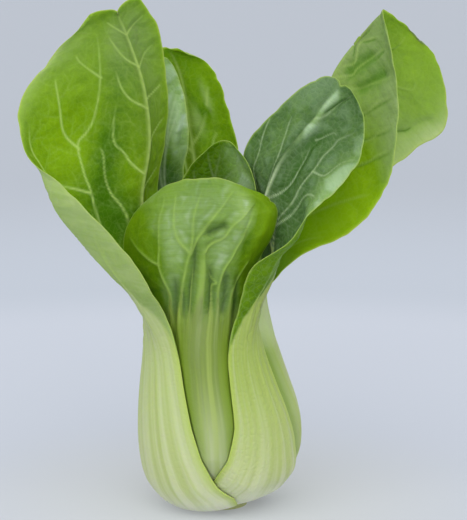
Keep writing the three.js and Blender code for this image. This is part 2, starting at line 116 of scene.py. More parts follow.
OUTER_LEFT = dict(
    PLAIN,
    name="leaf_outer_left", foot=[225, 66], neck=[212, 30], start=0, thick=0.26, inset=0, midrib=3.6,
    pitch=0.58, vein=0.55, fine=True, ruffle=0.4, scallop=0.35, notched=True, rib_behind=0.2,
    stalk_top=[1, 1.2], stalk_droop=[0.3, 1.15], droop_power=5, stalk_blur=0.35, vein_tint=[1.3, 0.95],
    outer_veins=0.3, deep=[[0.4, 0.1], [0.53, 0.42]], bloom_and_sheen=[[0.75, 1], [0, 0.05]],
    nicks=[(6.1, 1, 0.4, 2)],
    veins=[
        [(0.6, 0.06), (1.4, 0.14), (2.2, 0.19), (3, 0.21), (3.42, 0.27), (3.97, 0.365), (4.2, 0.33),
         (4.47, 0.31), (5.17, 0.325), (6.05, 0.35), (6.9, 0.44)],
        [(3.9, 0.35), (4.25, 0.5), (4.75, 0.61), (5.07, 0.67), (5.6, 0.76)],
        [(5.25, 0.32), (5.45, 0.41), (5.75, 0.53), (6.05, 0.62)],
        [(3.05, 0.22), (3.12, 0.3), (3.22, 0.43), (3.5, 0.62), (3.85, 0.78), (4.15, 0.84), (4.6, 0.87)],
        [(1.6, 0.02), (2.65, 0.06), (3.05, 0.115), (3.38, 0.16), (3.75, 0.2), (3.95, 0.24)],
        [(3.42, 0), (3.6, 0.06), (3.8, 0.105), (3.98, 0.16), (4.24, 0.18), (4.75, 0.19)],
        [(4.6, 0), (4.77, 0.1), (5.03, 0.165), (5.4, 0.2)],
        [(5.45, 0), (5.62, 0.09), (5.98, 0.17), (6.4, 0.24)], [(6.3, 0), (6.6, 0.12), (6.95, 0.26)],
        [(3.15, 0), (3.3, -0.45), (3.45, -0.85)], [(4, 0), (4.15, -0.4), (4.35, -0.85)],
        [(4.75, 0), (4.87, -0.4), (5.05, -0.8)], [(5.4, 0), (5.6, -0.3), (5.95, -0.75)],
        [(6.3, 0), (6.6, -0.35), (6.95, -0.75)], [(0.8, 0.3), (2, 0.48), (2.9, 0.68), (3.3, 0.88)],
        [(0.4, 0.5), (1.2, 0.68), (2, 0.8), (2.6, 0.92)],
    ],
    folds=[
        ([(1.9, 0.12), (2.6, 0.12), (3.3, 0.13), (3.9, 0.14)], 1.3, 3.6),
        ([(3.6, 0.45), (4.6, 0.42), (5.6, 0.5)], 0.9, 6),
        ([(4.8, 0.12), (5.6, 0.13), (6.4, 0.2)], 0.8, 4), ([(5, -0.35), (6, -0.4), (6.9, -0.45)], 0.7, 3),
    ],
    patches=[
        (1, 6.5, 0.75, 0.9, 0.3, 0.25, 0), (1, 6.2, 1, 1.4, 0.12, 0.5, 0),
        (1, 6.3, -0.35, 1.4, 0.5, 0.3, 0.35), (1, 2.8, 0.1, 0.8, 0.2, -0.1, 0.3),
        (0, 0.8, 0.93, 0.8, 0.3, -0.15, 0.2), (1, 6.2, 0.15, 0.8, 0.15, 0.25, 0),
        (1, 2.9, 0.12, 0.8, 0.1, 0, 0.4), (1, 5.2, 0.2, 0.6, 0.12, 0, 0.25),
        (1, 3.9, 0.5, 0.8, 0.25, -0.1, -0.2), (1, 3.3, 0.05, 0.5, 0.07, 0, -0.45),
        (1, 4, 0.2, 0.7, 0.08, 0, 0.45),
    ],
    blade=[
        [[-33, 8, 84], [-34, 1, 85], [-31, -7, 86], [-41, -18, 86], [-25, -25, 86]],
        [[-30, 12, 104], [-34, 5, 105], [-32, -4, 105], [-73, -17, 110], [-35, -28, 104]],
        [[-27, 14, 127], [-30, 8, 127], [-33, -1, 126], [-89, -19, 131], [-54, -31, 127]],
        [[-24, 14, 150], [-28, 9, 149], [-30, 1, 148], [-76, -8, 149], [-76, -22, 145]],
        [[-23, 12, 169], [-28, 8, 170], [-32, -1, 170], [-60, -4, 170], [-80, -14, 164]],
        [[-25, 8, 187], [-32, 4, 188], [-37, -4, 187], [-55, -3, 185], [-71.5, -9, 177]],
        [[-29.5, 3, 199], [-34.5, -1, 199], [-41, -7, 197], [-51, -5, 195.5], [-60, -8, 190.5]],
        [[-34, -2, 206], [-38, -6, 206], [-41.5, -9, 199.5], [-46.5, -9, 202], [-52.5, -8, 198.8]],
    ],
)
OUTER_BACK = dict(
    PLAIN,
    name="leaf_outer_back", foot=[87.5, 64], neck=[90, 28], start=0, thick=0.26, inset=0, midrib=3.4,
    pitch=0.75, vein=0.55, ruffle=0.15, scallop=0.5, vein_tint=[1.3, 0.5],
    deep=[[0.5, 0.3], [0.75, 0.45]], bloom_and_sheen=[[0.3, 0.3], [0, 0]],
    nicks=[(6, -0.35, 0.7, 1.4), (5.58, -0.95, 0.6, 1.4), (5.05, -1, 0.5, 1.5), (6.9, -0.6, 0.4, 1.4)],
    veins=[
        [(2.9, 0.1), (3.32, 0.12), (3.56, 0), (3.81, -0.14), (4.01, -0.23), (4.18, -0.3), (4.4, -0.38)],
        [(3.3, -0.2), (3.6, -0.35), (3.77, -0.4), (3.97, -0.53)],
        [(4.5, -0.42), (4.8, -0.52), (5.08, -0.62)], [(1.2, 0), (2, -0.4), (3, -0.8)],
        [(1.4, 0), (2.1, 0.4), (3, 0.85)], [(2.4, 0), (3.1, 0.4), (4, 0.85)],
        [(3.4, 0), (4.1, 0.4), (4.9, 0.85)], [(4.4, 0), (5, 0.4), (5.7, 0.85)],
    ],
    folds=[
        ([(3.7, -0.05), (3.95, -0.1), (4.2, -0.25), (4.5, -0.42), (5, -0.52), (5.4, -0.56)], -0.8, 2.2),
        ([(3.9, -0.3), (4.3, -0.4), (4.45, -0.5)], 0.4, 1.8),
    ],
    patches=[
        (1, 4.65, -0.47, 0.4, 0.09, 0.45, -0.1), (1, 4.1, -0.17, 0.3, 0.1, 0.45, 0),
        (1, 4.3, -0.36, 0.15, 0.14, -0.2, 0.25), (1, 5.9, 0, 0.8, 0.6, 0, 0.2),
    ],
    blade=[
        [[6, 22, 86], [2, 26, 86], [-5, 27, 86], [-12, 26, 86], [-16, 22, 86]],
        [[10, 28, 106], [4, 33, 108], [-8, 34, 108], [-20, 34, 108], [-28, 28, 106]],
        [[8, 33, 126], [2, 39, 130], [-12, 40, 130], [-28, 40, 130], [-38, 33, 126]],
        [[5, 36, 143], [-2, 43, 150], [-15, 44, 150], [-32, 44, 150], [-42, 36, 146]],
        [[0, 38, 161], [-8, 45, 168], [-18, 46, 168], [-32, 46, 166], [-40, 39, 162]],
        [[-6, 41, 174.5], [-13, 46, 178.5], [-22, 47, 179], [-29, 46, 178], [-35, 42, 174]],
        [[-19, 45, 181], [-21, 46, 182.5], [-25, 46, 183], [-28, 46, 182], [-31, 45, 180]],
    ],
)
OUTER_RIGHT = dict(
    PLAIN, name="leaf_outer_right", foot=[309, 75], neck=[306, 20], start=0.5, thick=0.24, inset=0.01,
    midrib=3.4,
    pitch=0.5, midrib_top=4.8, vein=0.4, fine=True, ruffle=0.4, scallop=0.3, stalk_top=[1.85, 0.9],
    stalk_droop=[1.75, 0.4], droop_power=1, stalk_blur=0.3, vein_tint=[1.5, 0.25], midrib_tint=0.7,
    outer_veins=0.25, deep=[[0.55, 0.4], [1, 0.95]], bloom_and_sheen=[[0, 0], [0.2, 0.25]],
    nicks=[(7.87, 0.1, 1.3, 0.9), (4.6, -1, 0.6, 1.6), (5.6, -1, 0.4, 1.5), (6.6, 1, 0.4, 1.4)],
    veins=[
        [(3, 0), (3.4, 0.03), (3.77, 0.06), (4.4, 0.19), (4.74, 0.33), (5.12, 0.48), (5.42, 0.58)],
        [(2.3, 0), (2.9, 0.4), (3.3, 0.62), (3.68, 0.67), (4.06, 0.6), (4.36, 0.69), (4.42, 0.9)],
        [(4.36, 0.69), (4.74, 0.88), (4.95, 0.96)],
        [(3.25, 0), (3.5, -0.1), (3.85, -0.2), (4.19, -0.24), (4.7, -0.22), (5.25, -0.14)],
        [(1.4, 0), (2.2, -0.04), (2.88, -0.14), (3.51, -0.33), (3.9, -0.43), (4.61, -0.51),
         (5.25, -0.48), (5.6, -0.46), (5.88, -0.45), (6.26, -0.61), (6.52, -0.82)],
        [(5.38, -0.16), (5.59, -0.22), (5.93, -0.31), (5.93, -0.4)],
        [(4.66, -0.51), (4.83, -0.65), (5.04, -0.71), (5.54, -0.76), (5.93, -0.96)],
        [(2.75, -0.13), (3.01, -0.25), (3.47, -0.41), (4.11, -0.65), (4.3, -0.85)],
        [(5.97, 0.03), (6.26, -0.06), (6.65, -0.14), (7.11, -0.29), (7.62, -0.66)],
        [(0.6, -0.3), (1.4, -0.5), (2.2, -0.66), (2.9, -0.8)],
    ],
    folds=[
        ([(3.4, 0), (4.2, 0), (4.8, -0.02), (5.4, -0.02), (6.05, 0), (6.8, 0.04),
          (7.5, 0.04)], -1.6, 1.9),
        ([(2.5, -0.1), (3.2, -0.26), (3.9, -0.43), (4.6, -0.51), (5.25, -0.48), (5.8, -0.46)], -1, 1.5),
        ([(4.75, -0.6), (5.04, -0.66), (5.54, -0.7), (5.9, -0.85)], 0.8, 1.6),
        ([(3.2, -0.5), (3.9, -0.7), (4.6, -0.78)], 0.7, 1.6),
        ([(6.05, -0.1), (6.5, -0.18), (6.9, -0.3), (7.4, -0.6)], -0.8, 1),
        ([(5.3, 0.3), (5.8, 0.32), (6.4, 0.3), (7.1, 0.25)], 0.7, 1.4),
    ],
    furrows=[
        ([(3, -0.1), (3.56, -0.14), (4, -0.23), (4.55, -0.23), (5.06, -0.2), (5.6, -0.2),
          (6.1, -0.25)], 1.5, 2.2),
        ([(6.2, 0), (6.55, -0.07), (6.94, -0.2), (7.45, -0.52)], 1, 0.6),
    ],
    patches=[
        (1, 5.8, 0.02, 0.9, 0.05, 0.6, -0.5), (1, 4, -0.92, 1.4, 0.2, 0.4, -0.4),
        (1, 5.2, -0.92, 0.9, 0.18, 0.4, -0.3), (1, 6.9, -0.03, 0.6, 0.12, 0.65, -0.4),
        (1, 6.8, 0.7, 0.9, 0.4, 0.15, 0), (1, 4.7, 0.4, 1, 0.25, 0.1, -0.15),
        (1, 3.2, 0.5, 0.8, 0.4, 0.2, -0.1), (1, 5.5, -0.03, 0.5, 0.06, 0.5, -0.2),
    ],
    blade=[
        [[5, -25, 84], [11, -26, 86], [12.5, -19, 86], [15, -17, 86], [13, -13, 86]],
        [[10, -28, 102], [26.5, -25, 104], [19, -11, 104], [19, -6, 104], [14, -2, 104]],
        [[25, -30, 113], [38, -22, 117], [15.5, -8, 122], [16, -2, 123], [12, 4, 124]],
        [[33, -28, 124], [34, -16, 131], [20.5, -7, 137], [13.5, 2, 140], [7.5, 9, 143]],
        [[42, -25, 132], [39, -13, 142], [29.5, -5, 149], [24, 0, 154], [18.5, 6, 158]],
        [[53, -17, 143], [48, -8, 151], [36.5, -4, 157], [33, 0, 164], [29.5, 4, 169]],
        [[54, -10, 159], [50, -5, 163], [43, -3, 166], [41, -1, 171], [39, 2, 174]],
        [[50, -5, 169.5], [48, -4, 171], [46.5, -3, 171.5], [45, -2, 173], [44, -1, 174]],
    ],
)
MIDDLE_LEFT = dict(
    PLAIN, name="leaf_middle_left", foot=[172.5, 62], neck=[160, 22], start=0.9, thick=0.22, inset=0.02,
    midrib=3,
    pitch=0.75, vein=0.5, vein_tint=[0.3, 0.6], deep=[[0.4, 0.3], [1.1, 0]], bloom_and_sheen=[[0.3, 0.3], [0, 1]],
    veins=[
        [(2.6, -0.1), (3.3, -0.16), (4.02, -0.3), (4.5, -0.5), (4.94, -0.72)],
        [(3.6, -0.2), (4.45, -0.34), (5.26, -0.66)], [(1.4, 0), (2.2, -0.4), (3, -0.85)],
        [(0.9, 0), (1.6, 0.4), (2.5, 0.85)], [(2, 0), (2.8, 0.4), (3.7, 0.85)],
        [(3.2, 0), (3.9, 0.4), (4.8, 0.85)], [(4.4, 0), (5, 0.4), (5.7, 0.85)],
    ],
    folds=[
        ([(3.4, -0.3), (4, -0.45), (4.6, -0.62), (5.2, -0.75)], -0.9, 1.6),
        ([(3.6, -0.62), (4.2, -0.72), (4.8, -0.84)], 0.8, 1.2),
    ],
    patches=[
        (1, 4.6, -0.6, 0.6, 0.3, 0.7, -0.1), (1, 4, -0.5, 0.35, 0.12, 0.6, -0.1),
        (1, 2.8, 0, 1, 1, -0.3, 0.35), (1, 3.7, -0.4, 0.5, 0.4, -0.4, 0.1),
    ],
    blade=[
        [[-17, 14, 86], [-21, 13, 86], [-25, 8, 86], [-26, 4, 86], [-25, 0, 86]],
        [[-14.5, 21, 108], [-18.5, 22, 108], [-22, 20, 108], [-23, 17, 108], [-21, 13, 108]],
        [[-17, 24, 128], [-21, 23, 128], [-26, 22, 128], [-30, 21, 128], [-32, 19, 127]],
        [[-15, 25, 145], [-19, 23, 146], [-28, 22, 146], [-38, 20, 146], [-46, 14, 144]],
        [[-16, 25, 160], [-20, 24, 162], [-28, 23, 162], [-37, 21, 161], [-44, 16, 158]],
        [[-19, 24, 173], [-22, 24, 175], [-27, 23, 175], [-33, 22, 174], [-38, 19, 170]],
        [[-23, 23, 179], [-24, 23, 180], [-26, 23, 180], [-28, 22, 180], [-31, 21, 178]],
    ],
)
MIDDLE_RIGHT = dict(
    PLAIN,
    name="leaf_middle_right", foot=[35, 60], neck=[9, 49], start=1.3, thick=0.22, inset=0.03, midrib=3.2,
    pitch=0.66, vein=0.45, fine=True, pucker=0.35, relief=0.28, lumps=0.3, ruffle=0.4, scallop=0.35,
    stalk_top=[0.1, 1.2], stalk_droop=[0, 0.3], vein_tint=[0.5, 0.5], outer_veins=0.7, cover_reach=10,
    deep=[[0.25, 0.3], [-0.8, 1.35]], bloom_and_sheen=[[1, 0.08], [0.25, 0.45]],
    nicks=[(7.6, 0.97, 2.2, 1.7), (6.4, 1, 0.3, 2)],
    veins=[
        [(5.3, -0.05), (5.58, -0.13), (6.04, -0.06), (6.42, -0.19), (6.8, -0.4)],
        [(4.9, 0), (5.17, -0.12), (5.32, -0.18), (5.51, -0.19), (5.9, -0.28), (6.45, -0.46), (6.9, -0.8)],
        [(4.4, 0), (4.8, -0.1), (5.13, -0.27), (5.66, -0.48), (6.1, -0.7), (6.53, -0.95)],
        [(3.8, 0), (4.4, -0.25), (4.98, -0.48), (5.47, -0.61), (6.04, -0.88)],
        [(3.2, 0), (3.9, -0.35), (4.64, -0.63), (5.06, -0.73), (5.55, -0.94)],
        [(2.6, 0), (3.4, -0.4), (4.23, -0.7), (4.6, -0.78), (5.21, -0.96)],
        [(1.9, 0), (2.6, -0.4), (3.3, -0.7), (3.9, -0.93)], [(1.1, 0), (1.8, -0.45), (2.6, -0.9)],
        [(1.6, 0), (2.4, 0.45), (3.3, 0.9)], [(2.6, 0), (3.5, 0.45), (4.2, 0.88)],
        [(4.6, 0), (5.5, 0.42), (5.92, 0.63), (6.26, 0.66)],
        [(5.9, 0), (6.45, 0.35), (6.75, 0.43), (7.1, 0.5)],
    ],
    folds=[
        ([(5.1, -0.08), (5.18, -0.14), (5.54, -0.18), (6.07, -0.3), (6.67, -0.59)], 0.5, 1.2),
        ([(4.9, -0.2), (5.21, -0.32), (5.64, -0.43), (6.07, -0.63), (6.67, -0.97)], 0.5, 1.2),
        ([(4.4, -0.25), (5, -0.44), (5.6, -0.62), (6.1, -0.85)], -0.4, 2.2),
        ([(4.85, 0.6), (4.75, 0.75), (5.02, 0.85), (5.43, 0.86), (6.04, 0.9)], -1, 1.8),
    ],
    furrows=[
        ([(5.6, -0.04), (5.68, -0.07), (5.98, -0.01), (6.4, -0.06), (6.8, -0.08)], 0.4, 0.5),
        ([(5.98, -0.01), (6.3, -0.18), (6.57, -0.3)], 0.4, 0.5),
        ([(5, -0.13), (5.24, -0.18), (5.64, -0.25), (6.37, -0.48), (6.7, -0.62)], 0.3, 0.7),
        ([(5.1, -0.12), (5.4, -0.16), (5.9, -0.27), (6.3, -0.38)], 0.6, 3.6),
        ([(5, -0.27), (5.25, -0.33), (5.6, -0.43), (6, -0.56), (6.3, -0.7)], 0.9, 3.2),
        ([(4.6, -0.4), (4.85, -0.46), (5.41, -0.63), (6, -0.88)], 0.5, 0.5),
        ([(4.3, -0.52), (4.55, -0.59), (5.01, -0.74), (5.54, -0.94)], 0.5, 0.5),
        ([(3.9, -0.6), (4.12, -0.68), (4.65, -0.82), (5.21, -0.97)], 0.4, 0.5),
        ([(6.1, 0.26), (6.45, 0.36), (6.75, 0.44)], -0.4, 0.5),
        ([(4.75, 0.76), (5.02, 0.84), (5.2, 0.84)], -0.4, 0.6),
    ],
    patches=[
        (1, 4.6, -0.6, 1, 0.5, -0.1, -0.25), (1, 3.2, -0.7, 1.2, 0.6, -0.8, -0.1),
        (0, 4.9, 0.99, 1.1, 0.12, 0.45, 0), (0, 5.7, 1, 0.5, 0.1, 0.6, 0),
        (0, 5, 0.78, 0.3, 0.05, 0, 0.3), (0, 0.6, -0.5, 1.3, 0.6, 0.5, 0.2),
        (1, 5.4, -0.95, 1.2, 0.15, 0.2, 0.3), (1, 5.6, -0.75, 0.8, 0.25, 0.1, 0.1),
        (1, 4.9, -0.5, 0.6, 0.4, 0.05, 0.15), (1, 5.4, -0.03, 0.8, 0.06, 0.2, -0.1),
    ],
    blade=[
        [[13.5, -8, 86], [16.5, -3, 87], [14.5, 6, 86], [12, 12, 86], [7.5, 16, 86]],
        [[30, -2, 102], [27, 6, 105.5], [20, 12, 108], [19, 18, 108], [20, 24, 106]],
        [[51, -3, 113], [38, 8, 123.5], [27, 16, 128], [32, 26, 126], [40, 34, 120]],
        [[62, -1, 126], [50, 10, 143], [36, 19, 152], [47, 30, 146], [64, 35, 129.5]],
        [[67, 1, 140], [58, 12, 160], [44, 21, 173], [62, 32, 163], [80, 37, 141.5]],
        [[69, 5, 162], [63, 14, 177], [53, 22, 186], [70, 31, 175], [91.5, 37, 150.5]],
        [[67, 10, 182], [63.5, 17, 190], [60, 22, 196], [73, 29, 188], [87, 33, 177]],
        [[63, 17, 196], [63.5, 19, 198], [63, 21, 200], [68.5, 24, 197], [74, 27, 191]],
    ],
)
MIDDLE_FRONT = dict(
    PLAIN, name="leaf_middle_front", foot=[257.5, 56], neck=[258, 42], start=1.8, thick=0.2, inset=0.03,
    midrib=3,
    pitch=0.5, midrib_top=2.5, vein=0.62, fine=True, pucker=0.3, relief=0.45, scallop=0.45,
    stalk_top=[0.8, 0.8], stalk_droop=[0.1, 0.1], stalk_blur=0.6, vein_tint=[1.1, 0.7], midrib_tint=0.3,
    outer_veins=1, cover_reach=5, deep=[[0.62, 0.5], [0.5, 0.4]], bloom_and_sheen=[[0.3, 0.35], [0.1, 0.2]],
    nicks=[(4.3, 0.8, 1, 1.2), (4.3, -1, 0.4, 1.5)],
    veins=[
        [(2.28, 0.01), (2.45, 0.09), (2.62, 0.23), (2.93, 0.3), (3.2, 0.4), (3.62, 0.54), (3.95, 0.64)],
        [(2.2, -0.13), (2.45, -0.08), (2.75, -0.02), (3.15, 0.09), (3.5, 0.18), (4, 0.3), (4.4, 0.42)],
        [(0.1, -0.5), (0.75, -0.38), (1.5, -0.235), (2.13, -0.145), (2.55, -0.105), (3, -0.1),
         (3.4, -0.08), (3.8, -0.05), (4.5, 0)],
        [(2.25, -0.14), (2.52, -0.24), (2.85, -0.285), (3.3, -0.295), (3.75, -0.3), (4.2, -0.33)],
        [(0.1, -0.72), (0.75, -0.6), (1.25, -0.49), (1.6, -0.5), (1.95, -0.5), (2.4, -0.46),
         (3.15, -0.46), (3.7, -0.44), (4.3, -0.52)],
        [(1.95, -0.5), (2.1, -0.62), (2.4, -0.76), (2.8, -0.88)],
        [(0.1, 0.44), (0.7, 0.38), (1.35, 0.31), (1.8, 0.34), (2.12, 0.42), (2.45, 0.45), (2.72, 0.475),
         (3.2, 0.53), (3.7, 0.62)],
        [(0.1, 0.7), (0.71, 0.63), (1.26, 0.6), (1.57, 0.65), (2.01, 0.73), (2.15, 0.76)],
        [(0.3, 0.24), (0.83, 0.24), (1.42, 0.19), (1.54, 0.25), (1.69, 0.12), (1.8, 0.08)],
        [(0.3, -0.16), (0.71, -0.16), (1.4, -0.12), (1.97, -0.1)],
    ],
    folds=[
        ([(2.17, 0.7), (2.4, 0.6), (2.83, 0.49), (3.43, 0.54), (4.06, 0.68)], -0.8, 1.4),
        ([(2.5, 0.38), (2.9, 0.36), (3.5, 0.42)], 0.6, 2.6),
        ([(2.2, 0.8), (2.7, 0.72), (3.3, 0.78), (3.8, 0.85)], 0.7, 2.6),
        ([(2.5, 0), (2.58, 0.06), (2.66, 0.14), (2.75, 0.24)], 1, 1.1),
        ([(0.4, -0.01), (1.2, -0.01), (2, -0.01), (2.5, -0.01), (2.62, -0.01)], 0.9, 1.1),
        ([(2.95, 0), (3.1, 0.1), (3.2, 0.24)], 0.8, 1.6),
    ],
    furrows=[
        ([(2.64, -0.02), (2.72, 0.05), (2.8, 0.12), (2.9, 0.2), (2.98, 0.26)], -1.7, 1.6),
        ([(0.6, -0.17), (0.9, -0.16), (1.37, -0.14), (1.83, -0.09), (2.3, -0.08), (2.6, -0.07)], -1, 1.4),
        ([(0.7, 0.17), (0.97, 0.18), (1.37, 0.16), (1.69, 0.12), (2.05, 0.09)], -1.5, 1.7),
        ([(0.7, 0.47), (0.9, 0.47), (1.26, 0.46), (1.6, 0.42), (1.9, 0.37)], -1, 1.9),
        ([(0.5, 0.8), (0.86, 0.76), (1.3, 0.7), (1.9, 0.6)], -1.1, 1.4),
        ([(0.5, -0.56), (0.8, -0.48), (1.26, -0.38), (1.81, -0.3)], -1, 1.8),
        ([(0.6, -0.3), (1, -0.27), (1.5, -0.24)], -0.6, 1.2),
    ],
    patches=[
        (0, 3.4, 0.45, 0.8, 0.11, 1, -0.4), (0, 3.7, 0.05, 0.7, 0.35, 0.45, -0.1),
        (0, 2.9, -0.3, 0.6, 0.22, 0.6, -0.2), (0, 2.2, -0.34, 0.5, 0.12, 0.8, -0.2),
        (0, 2.25, 0.25, 0.5, 0.14, 0.8, -0.2), (0, 1.2, 0.45, 0.5, 0.15, 0.5, 0.1),
        (0, 1.2, -0.5, 0.5, 0.15, 0.4, 0.1), (0, 2.6, 0.56, 0.35, 0.06, -0.3, 0.3),
        (0, 3, 0.86, 1.6, 0.26, -1.2, -0.1), (0, 2, -0.75, 1.3, 0.3, -0.6, 0.1),
        (0, 3.3, -0.9, 0.8, 0.25, -0.3, -0.1), (0, 2.3, -0.46, 0.5, 0.12, -0.5, 0.15),
        (0, 3.24, 0.8, 0.7, 0.15, 0.15, -0.25), (0, 1.6, 0, 0.5, 0.12, 0.2, -0.2),
    ],
    blade=[
        [[-28, -14, 86], [-22, -22, 86], [-10, -22, 86], [1, -23, 86], [8.5, -16, 86]],
        [[-39, -13, 102], [-28, -27, 104], [-8.5, -25, 104], [5.5, -26, 104], [12, -17, 101]],
        [[-39.5, -13, 114], [-29.5, -28, 120], [-8, -27, 120], [13, -28, 120], [19, -16, 114.5]],
        [[-34.5, -15, 124], [-26.5, -26, 131], [-8, -27, 131], [10, -28, 131], [20, -16, 125.5]],
        [[-26, -20, 131], [-18, -25, 137], [-8, -27, 137.5], [2, -26, 137.5], [12, -21, 131]],
    ],
)
INNER_BACK = dict(
    PLAIN,
    name="leaf_inner_back", foot=[120, 52], neck=[118, 30], start=2.2, thick=0.18, inset=0.14, midrib=2.6,
    pitch=0.7, vein=0.5, pucker=0.4, relief=0.3, lumps=0.4, vein_tint=[0.7, 0.1],
    deep=[[1, 1], [0.85, 0.55]], bloom_and_sheen=[[0, 0.05], [0, 0]],
    veins=[
        [(2.6, -0.1), (3.25, -0.21), (3.69, -0.53), (3.9, -0.7)], [(1, 0), (1.8, -0.4), (2.8, -0.9)],
        [(2, 0), (2.8, 0.35), (3.6, 0.75)], [(3.2, 0), (3.8, 0.3), (4.4, 0.65)],
    ],
    patches=[
        (1, 3.5, -0.65, 1.3, 0.3, 1, -0.4), (1, 4.4, -0.3, 0.5, 0.25, 0.5, -0.2),
    ],
    blade=[
        [[-4, 12, 86], [-8, 14, 86], [-13, 13, 86], [-18, 11, 86], [-20, 6, 86]],
        [[6, 5, 106], [0, 14, 107], [-9, 15, 107], [-18, 13, 107], [-21, 5, 106]],
        [[12.5, -7, 126], [6, 8, 128], [-5, 13, 128], [-14, 12, 128], [-18, 7, 130]],
        [[9.5, -3, 139], [5, 7, 141], [-2, 10, 141], [-8, 11, 141], [-12.5, 8, 139]],
        [[4, 3, 146.5], [2, 6, 148], [0, 7, 148], [-2, 8, 148], [-4, 8, 147]],
    ],
)
HEART = dict(
    PLAIN, pitch=1.2, vein=0.8, pucker=0.3, relief=0.2, lumps=0.3, scallop=0.7, vein_tint=[0.8, 0.8],
    deep=[[0.1, 0.1], [0.1, 0.1]], bloom_and_sheen=[[0.2, 0.2], [0.2, 0.2]], pairs=4,
)
HEART_RIGHT = dict(
    HEART, name="leaf_heart_right", foot=[342.5, 44], neck=[342, 26], start=2.7, thick=0.15, inset=0.17,
    midrib=2,
    blade=[
        [[2, -10, 84], [6, -7, 84], [6, -2, 84], [6, 2, 84], [3, 5, 84]],
        [[1, -9, 100], [6, -8, 101], [7, -3, 102], [6, 1, 101], [2, 3, 100]],
        [[-1, -7, 112], [4, -8, 115], [6, -3, 116], [5, 1, 115], [0, 2, 112]],
        [[1, -4, 120], [2, -4, 122], [3, -3, 123], [3, -1, 122], [1, -1, 120]],
    ],
)
HEART_LEFT = dict(
    HEART,
    name="leaf_heart_left", foot=[205, 40], neck=[205, 24], start=3.1, thick=0.12, inset=0.2, midrib=1.8,
    blade=[
        [[-18, 4, 82], [-20, 0, 82], [-19, -4, 82], [-16, -9, 82], [-11, -10, 82]],
        [[-17, 6, 96], [-22, 1, 97], [-20, -5, 98], [-16, -11, 97], [-9, -11, 96]],
        [[-14, 4, 107], [-18, 1, 109], [-17, -4, 110], [-13, -9, 109], [-9, -8, 107]],
        [[-14, 0, 113], [-15, -1, 115], [-14, -3, 116], [-12, -5, 115], [-11, -5, 113]],
    ],
)
HEART_BACK = dict(
    HEART,
    name="leaf_heart_back", foot=[67.5, 36], neck=[67, 24], start=3.5, thick=0.1, inset=0.24, midrib=1.6,
    blade=[
        [[-1, 4, 78], [-2, 7, 78], [-4, 7, 78], [-7, 8, 78], [-9, 5, 78]],
        [[2, 3, 90], [-1, 8, 91], [-4, 8, 92], [-8, 9, 91], [-12, 3, 90]],
        [[-1, 3, 99], [-3, 6, 101], [-5, 6, 102], [-7, 6, 101], [-10, 3, 99]],
        [[-3, 4, 104], [-4, 5, 105], [-5, 5, 106], [-6, 5, 105], [-7, 4, 104]],
    ],
)
LEAVES = [
    OUTER_LEFT, OUTER_BACK, OUTER_RIGHT, MIDDLE_LEFT, MIDDLE_RIGHT, MIDDLE_FRONT, INNER_BACK,
    HEART_RIGHT, HEART_LEFT, HEART_BACK,
]

# ---- Curves and noise ----
WAVE_LENGTHS = (1.4, 3.2)
BLUR_REACH = 3  # in widths of the blur


def smooth(x):
    c = np.clip(x, 0.0, 1.0)
    return c * c * (3.0 - 2.0 * c)


def bell(distance, width):
    return np.exp(-((distance / width) ** 2))


def through(rows, t):
    """A smooth curve through equally spaced rows of numbers, at the positions t."""
    rows = np.asarray(rows, float)
    t = np.asarray(t, float)
    i = np.clip(np.floor(t).astype(int), 0, len(rows) - 2)
    f = (t - i)[..., None]
    padded = np.vstack([2 * rows[0] - rows[1], rows, 2 * rows[-1] - rows[-2]])
    a, b, c, d = (padded[i + n] for n in range(4))
    return b + 0.5 * f * (c - a + f * (2 * a - 5 * b + 4 * c - d + f * (3 * b - a - 3 * c + d)))


def along(values, t):
    return np.interp(t, range(len(values)), values)


def waves(seed, u, v, scale, count=9):
    """Smooth random waves over the coordinates u and v, about -1 to 1, with features about scale long."""
    rng = np.random.default_rng(seed)
    total = np.zeros(np.broadcast(u, v).shape)
    for _ in range(count):
        turn, phase = rng.uniform(0, 2 * math.pi, 2)
        pitch = 2 * math.pi / (scale * rng.uniform(*WAVE_LENGTHS))
        total += np.sin(pitch * (u * math.cos(turn) + v * math.sin(turn)) + phase)
    return total / math.sqrt(count)


def unit(v):
    return v / np.maximum(np.linalg.norm(v, axis=-1, keepdims=True), TINY)


def blurred(values, width, axis=0):
    """Gaussian blur along one axis of a grid, by width cells, with the ends held."""
    reach = int(BLUR_REACH * width)
    kernel = np.exp(-0.5 * (np.arange(-reach, reach + 1) / width) ** 2)
    kernel /= kernel.sum()
    pad = [(0, 0)] * values.ndim
    pad[axis] = (reach, reach)
    padded = np.pad(values, pad, mode="reflect", reflect_type="odd")
    return np.apply_along_axis(lambda line: np.convolve(line, kernel, mode="valid"), axis, padded)


# ---- Stalks: layers of the bulb. Depth 0 is the outside of the bulb and depth 1 is the stem ----
def layer_depth(s):
    p = through(BULB, s)
    return np.hypot(p[..., 0] - p[..., 2], p[..., 1] - p[..., 3])


def azimuth(leaf, s):
    return leaf["foot"][0] + (leaf["neck"][0] - leaf["foot"][0]) * (s / STALK_TOP) ** STALK_TURN


def half_width(leaf, s):
    return leaf["neck"][1] + (leaf["foot"][1] - leaf["neck"][1]) * along(STALK_TAPER, s)


def turn_from(leaf, s, angle):
    """Degrees between an azimuth and the middle of a stalk."""
    return abs((angle - azimuth(leaf, s) + 180) % 360 - 180)


def stalk_thickness(leaf, s, x):
    edge = STALK_EDGE_THICKNESS / layer_depth(s)
    middle = np.maximum(leaf["thick"] * along(STALK_FULLNESS, s), edge)
    return edge + (middle - edge) * np.maximum(1 - x * x, 0) ** STALK_ROUNDNESS


def foot_share(leaf, s):
    """1 where the stalk joins the stem, 0 above its foot."""
    return smooth(1 - (s - leaf["start"]) / FOOT_LENGTH)


